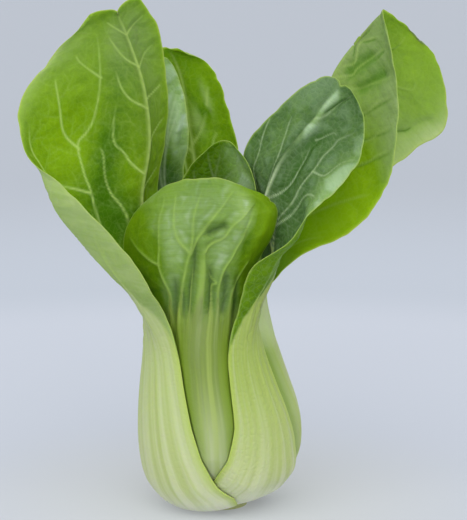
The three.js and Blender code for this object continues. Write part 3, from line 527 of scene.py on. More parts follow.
def depth_taken(leaf, s, angle):
    """The depth that a stalk takes up at an azimuth, fading out past its side edges."""
    turn = turn_from(leaf, s, angle)
    width = half_width(leaf, s)
    x = np.minimum(turn / width, 1)
    flesh = stalk_thickness(leaf, s, x) + STALK_EDGE_SINK * x * x
    full = flesh + (1 - flesh) * foot_share(leaf, s) + LAYER_GAP / layer_depth(s)
    return full * (1 - smooth((turn - width) / OVERLAP_FADE))


def base_rise(s, angle):
    facing = (1 + np.cos(np.radians(angle - BASE_RISE_AZIMUTH))) / 2
    return BASE_RISE * facing ** BASE_RISE_FOCUS * smooth((BASE_RISE_TOP - s) / BASE_RISE_FADE)


def point_in_bulb(s, depth, angle):
    p = through(BULB, s)
    outer_r, outer_z, inner_r, inner_z, lean = (p[..., n] for n in range(5))
    r = outer_r + (inner_r - outer_r) * depth
    a = np.radians(angle)
    z = inner_z * depth + (outer_z + base_rise(s, angle)) * (1 - depth)
    return np.stack([lean - FOOT_LEAN + r * np.cos(a), r * np.sin(a), z], axis=-1)


def covered(k, s, angle):
    """How close a point of a stalk's outside is to the edge of a stalk that lies over it: 1 at the edge.
    This places painted shade beside that edge.
    """
    cover = np.zeros(np.broadcast(s, angle).shape)
    for above in LEAVES[:k]:
        beyond = np.radians(turn_from(above, s, angle) - half_width(above, s)) * through(BULB, s)[..., 0]
        near = bell(np.maximum(beyond, 0), LEAVES[k]["cover_reach"])
        cover = np.maximum(cover, np.where(s >= above["start"], near, 0))
    return cover


def stalk_surfaces(k, s, x):
    """Outer and inner surface of stalk number k at stations s and positions x across it."""
    leaf = LEAVES[k]
    angle = azimuth(leaf, s) + x * half_width(leaf, s)
    outer = leaf["inset"] + STALK_EDGE_SINK * x * x
    for above in LEAVES[:k]:
        outer = outer + np.where(s >= above["start"], depth_taken(above, s, angle), 0)
    flesh = outer + stalk_thickness(leaf, s, x)
    inner = np.minimum(flesh + (1 - flesh) * foot_share(leaf, s), 1)
    return point_in_bulb(s, outer, angle), point_in_bulb(s, inner, angle)


# ---- Blades ----
ROW_POINTS = 5


def blade_net(k):
    """The leaf's net, with the neck of its stalk as two more rows, so that the blade flows on from it."""
    rows = []
    for s in (STALK_TOP - 1, STALK_TOP):
        outer, inner = stalk_surfaces(k, np.full(ROW_POINTS, s), np.linspace(-1, 1, ROW_POINTS))
        a, ab, m, bb, b = (outer + inner) / 2
        rows.append([a, 2 * ab - (a + m) / 2, m, 2 * bb - (b + m) / 2, b])
    rows += [np.array(row) - np.array([FOOT_LEAN, 0, 0]) for row in LEAVES[k]["blade"]]
    return np.array(rows, float)


def blade_points(net, t, x):
    """Each half of a blade row is a quadratic curve from the midrib over its belly to the margin."""
    rows = through(net.reshape(len(net), -1), 1 + t).reshape(*np.shape(t), ROW_POINTS, 3)
    u = abs(x)[..., None]
    left = (x < 0)[..., None]
    belly = np.where(left, rows[..., 1, :], rows[..., 3, :])
    margin = np.where(left, rows[..., 0, :], rows[..., 4, :])
    return rows[..., 2, :] * (1 - u) ** 2 + belly * 2 * u * (1 - u) + margin * u * u


# ---- Sheets: the middle surface of a leaf, in rows from foot to tip and columns from margin to margin ----
FAR = 7.0  # distances to veins are known up to here
LEAST_STEPS = 8
ROUGH_STEPS = 30
FINE_STEPS = 60
HALF_STALK = 30.0
STALK_LENGTH = 92.0
STALK_PITCH = 1.1
ROW_CROWDING = 1.2
NECK_BLUR = 6.0
OUTLINE_STEP = 0.4
OUTLINE_BLUR = 2.6
OUTLINE_REACH = 14.0
NOTCH_KEPT = 5.0
SCALLOPS = [(0.35, 3.2), (0.55, 6.5)]  # height and length of the margin's waves
SCALLOP_SEED = 1000
SCALLOP_START = 1.5
SCALLOP_REACH = 5.0
NICK_ACROSS = 2  # stations that half the leaf's width counts as
VEIN_STEP = 0.5
VEIN_TAPER = 0.7
VEIN_FADE = 0.5
VEIN_END = 0.85
VEIN_END_FADE = 0.15
VEIN_NARROWEST = 0.68
NEAR_CELLS = 1.6
FOLD_REACH = 2.2
FOLD_END = 0.25
BRANCH_STEP = 0.9
BRANCH_MEETS = 0.5
BRANCH_MARGIN = 0.97
BRANCH_TOP = 0.05
BRANCH_START = 0.4
BRANCH_JITTER = 0.25
BRANCH_STRIDE = 3
PATH_STEP = 0.05
BRANCH_ANGLES = (0.75, 1.1)
BRANCH_LENGTHS = (0.6, 1.2)
BRANCH_CURLS = (0.01, 0.05)
BRANCH_TAPER = 0.55
BRANCH_SHORTEST = 4  # points
BRANCH_STRENGTH = 0.14


def spread(length, pitch):
    return max(LEAST_STEPS, round(length / pitch))


def path_length(points, axis=0):
    return np.linalg.norm(np.diff(points, axis=axis), axis=-1).sum(axis=axis)


def run_lengths(points, axis):
    """Distance along the grid lines from the start of the axis to every point."""
    total = np.cumsum(np.linalg.norm(np.diff(points, axis=axis), axis=-1), axis=axis)
    first = np.zeros_like(np.take(total, [0], axis=axis))
    return np.concatenate([first, total], axis=axis)


def normals_of(points):
    """Unit normals of a grid, on the side that faces out of the head."""
    return unit(np.cross(np.gradient(points, axis=1), np.gradient(points, axis=0)))


class Sheet:
    """A leaf's middle surface and, for every grid point, what its relief and its colour need."""

    def __init__(self, k):
        self.leaf = LEAVES[k]
        self.net = blade_net(k)
        self.stations = len(self.net) - 2
        self.x = self.columns()
        self.shape_stalk(k)
        self.shape_blade()
        self.join()
        self.round_outline()
        self.measure()
        self.scallop(SCALLOP_SEED + k)
        self.measure()
        self.ridge = np.zeros(self.h.shape)
        self.nearest = np.full(self.h.shape, FAR)
        self.fold = np.zeros(self.h.shape)
        self.furrow_shade = np.zeros((2,) + self.h.shape)

    def columns(self):
        """Positions across the leaf, with as many in each half as its widest row needs."""
        counts = []
        for side in (-1, 1):
            rows = np.linspace(0, self.stations, ROUGH_STEPS)
            t, u = np.meshgrid(rows, np.linspace(0, side, ROUGH_STEPS))
            widest = path_length(blade_points(self.net, t, u)).max()
            counts.append(spread(max(widest, HALF_STALK), self.leaf["pitch"]))
        left = -np.linspace(1, 0, counts[0], endpoint=False)
        return np.concatenate([left, np.linspace(0, 1, counts[1] + 1)])

    def shape_stalk(self, k):
        start = self.leaf["start"] + FOOT_LIFT * self.x ** FOOT_ROUNDNESS
        share = np.linspace(0, 1, spread(STALK_LENGTH, STALK_PITCH)) ** ROW_CROWDING
        s = start + (STALK_TOP - start) * share[:, None]
        outer, inner = stalk_surfaces(k, s, np.broadcast_to(self.x, s.shape))
        self.stalk_h = s - STALK_TOP
        self.stalk_mid = (outer + inner) / 2
        self.stalk_half = (outer - inner) / 2
        self.stalk_cover = covered(k, s, azimuth(self.leaf, s) + self.x * half_width(self.leaf, s))

    def shape_blade(self):
        t = np.linspace(0, self.stations, FINE_STEPS)
        length = path_length(blade_points(self.net, t, np.zeros(FINE_STEPS)))
        t = np.linspace(0, self.stations, spread(length, self.leaf["pitch"]))[1:]
        self.blade_h = np.broadcast_to(t[:, None], (len(t), len(self.x)))
        points = blade_points(self.net, self.blade_h, np.broadcast_to(self.x, self.blade_h.shape))
        slip = self.stalk_mid[-1] - blade_points(self.net, np.zeros(len(self.x)), self.x)
        self.blade_mid = points + slip * (1 - smooth(self.blade_h / NECK_BLEND))[..., None]

    def join(self):
        """One grid of the stalk's and the blade's rows, with the bend at the neck rounded off."""
        self.h = np.concatenate([self.stalk_h, self.blade_h])
        mid = np.concatenate([self.stalk_mid, self.blade_mid])
        near_neck = smooth(1 - abs(self.h) / NECK_BLEND)[..., None]
        self.mid = mid + (blurred(mid, NECK_BLUR) - mid) * near_neck
        self.neck_row = len(self.stalk_h) - 1
        past_neck = self.stalk_cover[-1] * (1 - smooth(self.blade_h / NECK_BLEND))
        self.cover = np.concatenate([self.stalk_cover, past_neck])

    def outline(self, values):
        """A grid's values along the blade's margin: up the left, over the top and down the right."""
        n = self.neck_row
        return np.concatenate([values[n:-1, 0], values[-1, :-1], values[n:, -1][::-1]])

    def move_margin(self, move, reach):
        """Moves the margin by a vector for each point of the outline, fading out over reach inwards."""
        n = self.neck_row
        rows = len(self.h) - n
        left = np.zeros((len(self.h), 3))
        right = np.zeros((len(self.h), 3))
        left[n:] = move[:rows]
        right[n:] = move[-rows:][::-1]
        top = move[rows - 1:rows - 1 + len(self.x)]
        self.measure()
        weights = [smooth(1 - d / reach)[..., None] for d in (self.to_left, self.to_right, self.to_top)]
        total = weights[0] * left[:, None] + weights[1] * right[:, None] + weights[2] * top[None]
        self.mid = self.mid + total / np.maximum(sum(weights), 1)

    def round_outline(self):
        """Rounds the corners that the net's last row leaves in the outline of the blade."""
        outline = self.outline(self.mid)
        run = run_lengths(outline, 0)
        even = np.linspace(0, run[-1], int(run[-1] / OUTLINE_STEP))
        line = np.stack([np.interp(even, run, outline[:, c]) for c in range(3)], axis=-1)
        line = blurred(line, OUTLINE_BLUR / OUTLINE_STEP)
        move = np.stack([np.interp(run, even, line[:, c]) for c in range(3)], axis=-1) - outline
        if self.leaf["notched"]:
            tip = len(self.h) - self.neck_row - 1 + np.searchsorted(self.x, 0)
            move *= smooth(abs(run - run[tip]) / NOTCH_KEPT)[:, None]
        self.move_margin(move, OUTLINE_REACH)

    def scallop(self, seed):
        """Gives the margin its uneven waves and its nicks."""
        outline = self.outline(self.mid)
        run = run_lengths(outline, 0)
        h = self.outline(self.h)
        x = self.outline(np.broadcast_to(self.x, self.h.shape))
        outward = np.cross(self.outline(self.normal), unit(np.gradient(outline, axis=0)))
        outward *= np.sign(np.sum(outward * (outline - outline.mean(axis=0))))
        size = sum(high * waves(seed + n, run, 0 * run, long) for n, (high, long) in enumerate(SCALLOPS))
        size = self.leaf["scallop"] * size * smooth(h / SCALLOP_START)
        for height, across, depth, width in self.leaf["nicks"]:
            at = run[np.argmin((h - height) ** 2 + (NICK_ACROSS * (x - across)) ** 2)]
            size -= depth * bell(run - at, width)
        self.move_margin(outward * size[:, None], SCALLOP_REACH)

    def measure(self):
        """Distances over the sheet to its margins, and how long a station and half the width are."""
        across = run_lengths(self.mid, 1)
        upward = run_lengths(self.mid, 0)
        self.to_left = across
        self.to_right = across[:, -1:] - across
        self.to_top = upward[-1:] - upward
        self.edge = np.minimum(np.minimum(self.to_left, self.to_right), self.to_top)
        middle = np.searchsorted(self.x, 0)
        self.run_across = across - across[:, middle:middle + 1]
        self.run_up = upward - upward[self.neck_row]
        self.from_midrib = abs(self.run_across)
        self.normal = normals_of(self.mid)
        self.h_mid = self.h[:, middle]
        self.step_up = np.linalg.norm(np.gradient(self.mid, axis=0), axis=-1)
        self.step_up /= np.maximum(np.gradient(self.h_mid)[:, None], TINY)
        self.step_across = np.linalg.norm(np.gradient(self.mid, axis=1), axis=-1) / np.gradient(self.x)

    def cell(self, h, x):
        """Fractional row and column of a place on the leaf."""
        row = np.interp(h, self.h_mid, np.arange(len(self.h_mid)))
        column = np.interp(x, self.x, np.arange(len(self.x)))
        return row, column

    def nearest_cell(self, h, x):
        return tuple(int(round(float(v))) for v in self.cell(h, x))

    def points(self, h, x):
        row, column = self.cell(h, x)
        i = np.clip(row.astype(int), 0, len(self.h_mid) - 2)
        j = np.clip(column.astype(int), 0, len(self.x) - 2)
        f = (row - i)[:, None]
        g = (column - j)[:, None]
        low = self.mid[i, j] * (1 - g) + self.mid[i, j + 1] * g
        high = self.mid[i + 1, j] * (1 - g) + self.mid[i + 1, j + 1] * g
        return low * (1 - f) + high * f

    def near(self, path, reach):
        """The part of the grid round a path of (station, across) points, each point's distance to the path
        there, and how far along the path that is, from 0 to 1."""
        path = np.asarray(path, float)
        rough = self.points(path[:, 0], path[:, 1])
        t = np.linspace(0, 1, max(4, int(path_length(rough) / VEIN_STEP)))
        h, x = through(path, t * (len(path) - 1)).T
        centre = self.points(h, np.clip(x, -1, 1))
        row, column = self.cell(h, x)
        cells = int(NEAR_CELLS * reach / self.leaf["pitch"]) + 2
        rows = slice(max(int(row.min()) - cells, 0), int(row.max()) + cells)
        columns = slice(max(int(column.min()) - 2 * cells, 0), int(column.max()) + 2 * cells)
        apart = np.linalg.norm(self.mid[rows, columns][:, :, None] - centre, axis=-1)
        which = apart.argmin(axis=-1)
        distance = np.take_along_axis(apart, which[..., None], axis=-1)[..., 0]
        return (rows, columns), distance, t[which]

    def add_vein(self, path, wide, narrow, strength=1.0):
        """Adds a vein that tapers from wide to narrow and fades out at its end."""
        part, distance, t = self.near(path, FAR)
        strength = strength * (1 - VEIN_FADE * t ** 2) * (1 - smooth((t - VEIN_END) / VEIN_END_FADE))
        width = np.maximum(wide + (narrow - wide) * t ** VEIN_TAPER, VEIN_NARROWEST * self.leaf["pitch"])
        self.ridge[part] = np.maximum(self.ridge[part], strength * bell(distance, width))
        self.nearest[part] = np.minimum(self.nearest[part], np.maximum(distance - width / 2, 0))

    def add_fold(self, path, height, width, groove_shaded):
        """A soft fold along a path: out of the head for a positive height, and into it for a negative one.

        A furrow is one with the last argument set: it also gets painted shade on the face where it is a
        groove."""
        part, distance, t = self.near(path, FOLD_REACH * width)
        shape = smooth(t / FOLD_END) * smooth((1 - t) / FOLD_END) * bell(distance, width)
        self.fold[part] += height * shape
        # Painted shade on the face where the fold is a groove.
        if groove_shaded:
            furrow_shade = self.furrow_shade[int(height > 0)]
            furrow_shade[part] = np.maximum(furrow_shade[part], shape)

    def grow_branch(self, h, x, heading, length, curl):
        """The path of a side vein from a place on the leaf; it ends at a margin or at another vein."""
        path = [(h, x)]
        for _ in range(int(length / BRANCH_STEP)):
            here = self.nearest_cell(h, x)
            h += BRANCH_STEP * math.sin(heading) / self.step_up[here]
            x += BRANCH_STEP * math.cos(heading) / self.step_across[here]
            if abs(x) > BRANCH_MARGIN or h > self.stations - BRANCH_TOP:
                break
            path.append((h, x))
            if len(path) > BRANCH_SHORTEST + 1 and self.nearest[self.nearest_cell(h, x)] < BRANCH_MEETS:
                break
            heading += curl
        return path

    def branch_off(self, path, wide, pitch, length, rng):
        """Side veins to both sides of a vein in turn, about pitch apart."""
        path = np.asarray(path, float)
        grown = []
        count = int(path_length(self.points(path[:, 0], path[:, 1])) / pitch)
        side = 1
        for n in range(1, count + 1):
            share = (n - BRANCH_START + BRANCH_JITTER * rng.uniform(-1, 1)) / (count + BRANCH_START)
            t = share * (len(path) - 1)
            (h, x), (h2, x2) = through(path, np.array([t, t + PATH_STEP]))
            here = self.nearest_cell(h, x)
            heading = math.atan2((h2 - h) * self.step_up[here], (x2 - x) * self.step_across[here])
            heading += side * rng.uniform(*BRANCH_ANGLES)
            reach = length * rng.uniform(*BRANCH_LENGTHS)
            branch = self.grow_branch(h, x, heading, reach, -side * rng.uniform(*BRANCH_CURLS))
            if len(branch) >= BRANCH_SHORTEST:
                narrow = wide * BRANCH_TAPER
                self.add_vein(branch[::BRANCH_STRIDE] + [branch[-1]], wide, narrow, BRANCH_STRENGTH)
                grown.append(branch)
            side = -side
        return grown


# ---- Veins ----
MIDRIB_VEIN = (1.5, 0.5)  # half widths at the foot and at the tip
MIDRIB_FOOT = -1.2
MIDRIB_END = 0.15
MAIN_TAPER = 0.5
MAIN_STRENGTH = 0.9
SECOND_VEINS = (0.62, 7.5, 15.0)  # width as a share of a main vein's, spacing, length
THIRD_VEINS = (0.5, 5.0, 7.0)
PAIR_REACH = 0.93
PAIR_LOWEST = 0.15
PAIR_HEADROOM = 0.9
PAIR_RISE = (1.15, 0.5)
PAIR_BEND = (0.42, 0.4)
PAIR_TURN = 0.25  # how far the right vein of a pair is behind the left one
PAIR_TOP = 0.1


def pinnate(stations, pairs):
    """Side veins of a plain leaf, which leave the midrib in turn and rise towards the margins."""
    paths = []
    for n in range(pairs):
        for side in (-1, 1):
            place = n + (PAIR_TURN if side > 0 else 0)
            low = PAIR_LOWEST + (stations - PAIR_HEADROOM) * place / pairs
            high = min(low + PAIR_RISE[0] + PAIR_RISE[1] * n / pairs, stations - PAIR_TOP)
            bend = (low + (high - low) * PAIR_BEND[0], side * PAIR_REACH * PAIR_BEND[1])
            paths.append([(low, 0), bend, (high, side * PAIR_REACH)])
    return paths


def draw_veins(sheet, rng):
    leaf = sheet.leaf
    vein = leaf["vein"]
    top = min(leaf.get("midrib_top", sheet.stations - MIDRIB_END), sheet.stations)
    midrib = [(MIDRIB_FOOT, 0), (0, 0), (top * 0.5, 0), (top, 0)]
    mains = leaf.get("veins") or pinnate(sheet.stations, leaf["pairs"])
    sheet.add_vein(midrib, *MIDRIB_VEIN)
    sheet.midrib = sheet.ridge.copy()
    for path in mains:
        sheet.add_vein(path, vein, vein * MAIN_TAPER, MAIN_STRENGTH)
    width, pitch, length = SECOND_VEINS
    seconds = []
    for path in mains + [midrib]:
        seconds += sheet.branch_off(path, vein * width, pitch, length, rng)
    if leaf["fine"]:
        width, pitch, length = THIRD_VEINS
        for path in seconds:
            sheet.branch_off(path, vein * width, pitch, length, rng)
    for groove_shaded, folds in ((False, leaf["folds"]), (True, leaf["furrows"])):
        for path, height, width in folds:
            sheet.add_fold(path, height, width, groove_shaded)


# ---- Relief ----
BLADE_START = (-0.6, 1.4)  # station where the blade's relief starts, and over how many it comes in
QUILT_WIDTH = 3.2
CALM_MARGIN = 3.0
LUMP_SHARE = 0.5
LUMP_LENGTH = 16.0
RUFFLE_LENGTH = 13.0
RUFFLE_SHARE_ACROSS = 0.35
RUFFLE_REACH = 14.0
MIDRIB_WIDE = 3.6
MIDRIB_NARROW = 0.7
MIDRIB_NARROWING = 1.2
MIDRIB_INSIDE = 0.38
MARGIN_THICKNESS = 0.3
MARGIN_TAPER = 2.0
VEIN_RAISE = 0.12
VEIN_GROOVE = 0.25
THINNEST = 0.1
KEEP_PAST_NECK = 0.2
STALK_NORMAL_BLEND = 0.8
STALK_RIB = 0.16
RIB_SPREAD = 32
RIB_STRETCH = 0.8
RIB_LENGTH = 3.4
RIB_WAVES = 7
RIB_EDGE = 0.15
RIB_FOOT = (0.6, 1.5)  # stations above the foot where the ribs start, and over which they grow
RIB_TOP = (-1, 2)  # station from which they fade, and over how many


def blade_relief(sheet, seed, on_blade):
    """How far the middle surface is moved out of the head by puckers, lumps, ruffles and folds."""
    leaf = sheet.leaf
    pucker = leaf["pucker"] * (sheet.quilt - 0.5) * smooth(sheet.edge / CALM_MARGIN)
    lumps = LUMP_SHARE * leaf["lumps"] * waves(seed, sheet.run_across, sheet.run_up, LUMP_LENGTH)
    ruffle = waves(seed + 1, sheet.run_across * RUFFLE_SHARE_ACROSS, sheet.run_up, RUFFLE_LENGTH)
    ruffle = leaf["ruffle"] * ruffle * smooth(1 - sheet.edge / RUFFLE_REACH)
    return on_blade * (-pucker + lumps + ruffle) + sheet.fold


def stalk_ribs(sheet, seed):
    """Soft ribs that run up a stalk, about -1 to 1, fading out towards its edges and its ends."""
    widest = abs(sheet.run_across).max(axis=1, keepdims=True)
    around = sheet.run_across / np.maximum(widest, 1) * RIB_SPREAD
    ribs = waves(seed, around, sheet.h * RIB_STRETCH, RIB_LENGTH, RIB_WAVES)
    above_foot = sheet.h + STALK_TOP - sheet.leaf["start"] - RIB_FOOT[0]
    calm = smooth((1 - abs(sheet.x)) / RIB_EDGE) * smooth(above_foot / RIB_FOOT[1])
    return ribs * calm * smooth(1 - (sheet.h - RIB_TOP[0]) / RIB_TOP[1])


def leaf_surfaces(sheet, seed):
    """Outer and inner surface points of a leaf, with all its relief."""
    leaf = sheet.leaf
    n = sheet.neck_row
    on_blade = smooth((sheet.h - BLADE_START[0]) / BLADE_START[1])
    sheet.quilt = smooth(sheet.nearest / QUILT_WIDTH)
    mid = sheet.mid + sheet.normal * blade_relief(sheet, seed, on_blade)[..., None]
    normal = normals_of(mid)

    share = np.clip(sheet.h / sheet.stations, 0, 1)
    width = MIDRIB_WIDE * (1 - share) ** MIDRIB_NARROWING + MIDRIB_NARROW
    rib = np.maximum(leaf["midrib"] * (1 - MIDRIB_FADE * share) - BLADE_THICKNESS, 0)
    rib = rib * bell(sheet.from_midrib, width)
    full = MARGIN_THICKNESS + (1 - MARGIN_THICKNESS) * smooth(sheet.edge / MARGIN_TAPER)
    blade = BLADE_THICKNESS * full / 2 + sheet.ridge * VEIN_RAISE

    half = np.linalg.norm(sheet.stalk_half, axis=-1)
    half = np.concatenate([half, np.broadcast_to(half[-1], (len(sheet.h) - n - 1, len(sheet.x)))])
    keep = 1 - smooth((sheet.h + KEEP_PAST_NECK) / NECK_BLEND)
    out = blade + leaf["rib_behind"] * rib + leaf["relief"] * sheet.ridge
    into = blade + MIDRIB_INSIDE * rib - VEIN_GROOVE * leaf["relief"] * sheet.ridge
    out = out + (half - out) * keep + STALK_RIB * stalk_ribs(sheet, seed + 2) * (1 - on_blade)
    into = np.maximum(into + (half - into) * keep, THINNEST)

    direction = normal.copy()
    blend = smooth(-sheet.h[:n + 1] / STALK_NORMAL_BLEND)[..., None]
    direction[:n + 1] = unit(normal[:n + 1] * (1 - blend) + unit(sheet.stalk_half) * blend)
    return mid + direction * out[..., None], mid - direction * into[..., None]


# ---- Meshes ----
DEEP_MIDRIB = 0.12
DEEP_REACH = 9.0
RIM_WIDTH = 1.0
FLESH_UP_VEINS = 0.8
LEAF_SEEDS = 100  # from one leaf's first seed to the next one's
RELIEF_SEED = 10


def add_object(name, data):
    thing = bpy.data.objects.new(name, data)
    bpy.context.scene.collection.objects.link(thing)
    return thing


def closed_grid(name, outer, inner, attributes):
    """A closed mesh from two facing grids, with smooth faces and named point attributes, in metres."""
    rows, columns = outer.shape[:2]
    index = np.arange(rows * columns).reshape(rows, columns)
    back = index + rows * columns

    def quads(a, b, c, d):
        return np.stack([a, b, c, d], axis=-1).reshape(-1, 4)

    faces = [
        quads(index[:-1, :-1], index[:-1, 1:], index[1:, 1:], index[1:, :-1]),
        quads(back[:-1, :-1], back[1:, :-1], back[1:, 1:], back[:-1, 1:]),
        quads(index[:-1, 0], index[1:, 0], back[1:, 0], back[:-1, 0]),
        quads(index[:-1, -1], back[:-1, -1], back[1:, -1], index[1:, -1]),
        quads(index[0, :-1], back[0, :-1], back[0, 1:], index[0, 1:]),
        quads(index[-1, :-1], index[-1, 1:], back[-1, 1:], back[-1, :-1]),
    ]
    points = np.concatenate([outer.reshape(-1, 3), inner.reshape(-1, 3)]) * MM
    mesh = bpy.data.meshes.new(name)
    mesh.from_pydata(points.tolist(), [], np.concatenate(faces).tolist())
    mesh.shade_smooth()
    for title, values in attributes.items():
        layer = mesh.attributes.new(title, "FLOAT_VECTOR", "POINT")
        layer.data.foreach_set("vector", np.asarray(values, np.float32).ravel())
    return add_object(name, mesh)


def tone_along(sheet, ends):
    """A value that goes from the neck to the tip of the blade."""
    return ends[0] + (ends[1] - ends[0]) * smooth(sheet.h / sheet.stations)


def stalk_flesh(sheet, x):
    """1 on the stalk's pale flesh, 0 on the green of the blade."""
    leaf = sheet.leaf
    side = (x > 0).astype(int)
    droop = np.take(leaf["stalk_droop"], side) * abs(x) ** leaf["droop_power"]
    top = np.take(leaf["stalk_top"], side) - droop
    return 1 - smooth((sheet.h - top - FLESH_UP_VEINS * sheet.ridge) / leaf["stalk_blur"] + 0.5)


def face_tone(sheet, x, face):
    """How deep green, how bloomed and how furrowed one face of a leaf is: its own colour, with painted
    shade and light in the deep green, painted sheen in the bloom and painted shade in the furrows.
    """
    leaf = sheet.leaf
    deep = tone_along(sheet, leaf["deep"][face]) + DEEP_MIDRIB * bell(sheet.from_midrib, DEEP_REACH)
    bloom_and_sheen = tone_along(sheet, leaf["bloom_and_sheen"][face])
    for patch_face, height, across, tall, wide, add_bloom_and_sheen, add_deep in leaf["patches"]:
        if patch_face == face:
            there = np.exp(-(((sheet.h - height) / tall) ** 2) - ((x - across) / wide) ** 2)
            bloom_and_sheen = bloom_and_sheen + add_bloom_and_sheen * there
            deep = deep + add_deep * there
    return np.stack([deep, np.maximum(bloom_and_sheen, 0), sheet.furrow_shade[face]], axis=-1)


def leaf_piece(k):
    leaf = LEAVES[k]
    seed = LEAF_SEEDS * (k + 1)
    sheet = Sheet(k)
    draw_veins(sheet, np.random.default_rng(seed))
    outer, inner = leaf_surfaces(sheet, seed + RELIEF_SEED)
    x = np.broadcast_to(sheet.x, sheet.h.shape)
    stalk = stalk_flesh(sheet, x)
    rim = smooth(1 - sheet.edge / RIM_WIDTH)
    veins = sheet.ridge * tone_along(sheet, leaf["vein_tint"]) + sheet.midrib * leaf["midrib_tint"]
    tissues = [np.stack([stalk, veins * share, rim], axis=-1) for share in (leaf["outer_veins"], 1)]
    detail = np.stack([sheet.quilt, sheet.cover, 0 * x], axis=-1)
    places = [np.stack([x, sheet.h, np.full_like(x, face)], axis=-1) for face in (0, 1)]
    attributes = {
        "tissue": np.concatenate(tissues),
        "detail": np.concatenate([detail, detail]),
        "tone": np.concatenate([face_tone(sheet, x, face) for face in (0, 1)]),
        "place": np.concatenate(places),
    }
    return closed_grid(leaf["name"] + "_grown", outer, inner, attributes)


# ---- Materials ----
def colour(code):
    """Linear RGBA of a hex sRGB colour."""
    parts = [int(code[i:i + 2], 16) / 255 for i in (1, 3, 5)]
    return [c / 12.92 if c <= 0.04045 else ((c + 0.055) / 1.055) ** 2.4 for c in parts] + [1.0]


class Graph:
    """A short way to write a material's nodes."""

    def __init__(self, name):
        self.material = bpy.data.materials.new(name)
        self.material.use_nodes = True
        self.tree = self.material.node_tree
        self.tree.nodes.clear()
        self.spot = self.add("ShaderNodeTexCoord", output="Object")

    def add(self, kind, inputs=None, output=0, **settings):
        node = self.tree.nodes.new(kind)
        for key, value in settings.items():
            setattr(node, key, value)
        for key, value in (inputs or {}).items():
            socket = node.inputs[key]
            if isinstance(value, bpy.types.NodeSocket):
                self.tree.links.new(value, socket)
            else:
                socket.default_value = value
        return node.outputs[output]

    def split(self, name):
        vector = self.add("ShaderNodeAttribute", attribute_name=name, output="Vector")
        parts = self.tree.nodes.new("ShaderNodeSeparateXYZ")
        self.tree.links.new(vector, parts.inputs[0])
        return parts.outputs[0], parts.outputs[1], parts.outputs[2]

    def mix(self, factor, a, b):
        return self.add("ShaderNodeMix", {0: factor, 6: a, 7: b}, 2, data_type="RGBA")

    def math(self, operation, a, b, clamp=False):
        return self.add("ShaderNodeMath", {0: a, 1: b}, operation=operation, use_clamp=clamp)

    def times(self, a, b, clamp=False):
        return self.math("MULTIPLY", a, b, clamp)

    def plus(self, a, b, clamp=False):
        return self.math("ADD", a, b, clamp)

    def minus(self, a, b):
        return self.math("SUBTRACT", a, b)

    def ramp(self, value, low, high, start=0.0, end=1.0):
        inputs = {0: value, 1: low, 2: high, 3: start, 4: end}
        return self.add("ShaderNodeMapRange", inputs, interpolation_type="SMOOTHSTEP")

    def noise(self, vector, scale, detail, roughness, distortion=0.0):
        inputs = {"Vector": vector, "Scale": scale, "Detail": detail, "Roughness": roughness}
        return self.add("ShaderNodeTexNoise", inputs | {"Distortion": distortion})

    def stretched(self, vector, scale):
        return self.add("ShaderNodeMapping", {"Vector": vector, "Scale": scale})

    def finish(self, shader):
        output = self.tree.nodes.new("ShaderNodeOutputMaterial")
        self.tree.links.new(shader, output.inputs[0])
        return self.material


# Noises of a leaf: scale, detail, roughness and, for the ripples, distortion.
CLOUDS = (45.0, 3.0, 0.55)
MOTTLE = (300.0, 6.0, 0.85)
SPECKLE = (150.0, 8.0, 0.85)
GRAIN = (900.0, 3.0, 0.6)
BROAD = (160.0, 2.0, 0.5)
RIPPLES = (1.0, 2.0, 0.5, 0.8)
STREAKS = (1.0, 2.0, 0.5)
FIBRES = (1.0, 3.0, 0.6)
RIPPLE_STRETCH = (3.0, 9.0, 1.0)
STREAK_STRETCH = (6.5, 0.1, 1.0)
FIBRE_STRETCH = (24.0, 0.25, 1.0)
NET_SCALE = 420.0
CLOUD_STRENGTH = 0.5
MOTTLE_STRENGTH = 0.85
FURROW_SHADE_STRENGTH = 0.75
RIM_STRENGTH = 0.6
SHADE_CLIMB = 3
# Ramps: where they start and end, and their values there where these aren't 0 and 1.
SPECKLE_RAMP = (0.3, 0.7, 0.78, 1.0)
NET_WIDTH = 0.12
VEIN_BASE_RAMP = (0.85, 1.5, 0.0, 0.85)
FOOT_BOTTOM = -6.8
TOP_RAMP = (-4.6, -0.2)
GREEN_STREAKS = (0.45, 0.7)
GREEN_CLIMB = (-6.5, -3.5, 0.1, 0.6)
PALE_STREAKS = (0.58, 0.2, 0.0)
THREADS = (0.45, 0.75, 0.0, 0.12)
CENTRE_HIGHLIGHT_WIDTH = (0.4, 0.05, 0.0)
CENTRE_HIGHLIGHT_CLIMB = (-4.8, -0.8, 1.0, 0.1)
SIDE_RAMP = (0.82, 1.0, 0.0, 0.8)
SHADE_ENDS = (0.1, 0.85)
GRAIN_HEIGHT = 0.25
BROAD_HEIGHT = 0.8
FIBRE_HEIGHT = 0.5
BROAD_ROUGHNESS = 0.25
BUMP = {"Strength": 0.5, "Distance": 0.00016}
LEAF_LIGHT = {"IOR": 1.4, "Subsurface Radius": (0.7, 1.0, 0.25), "Subsurface Scale": 0.0024}


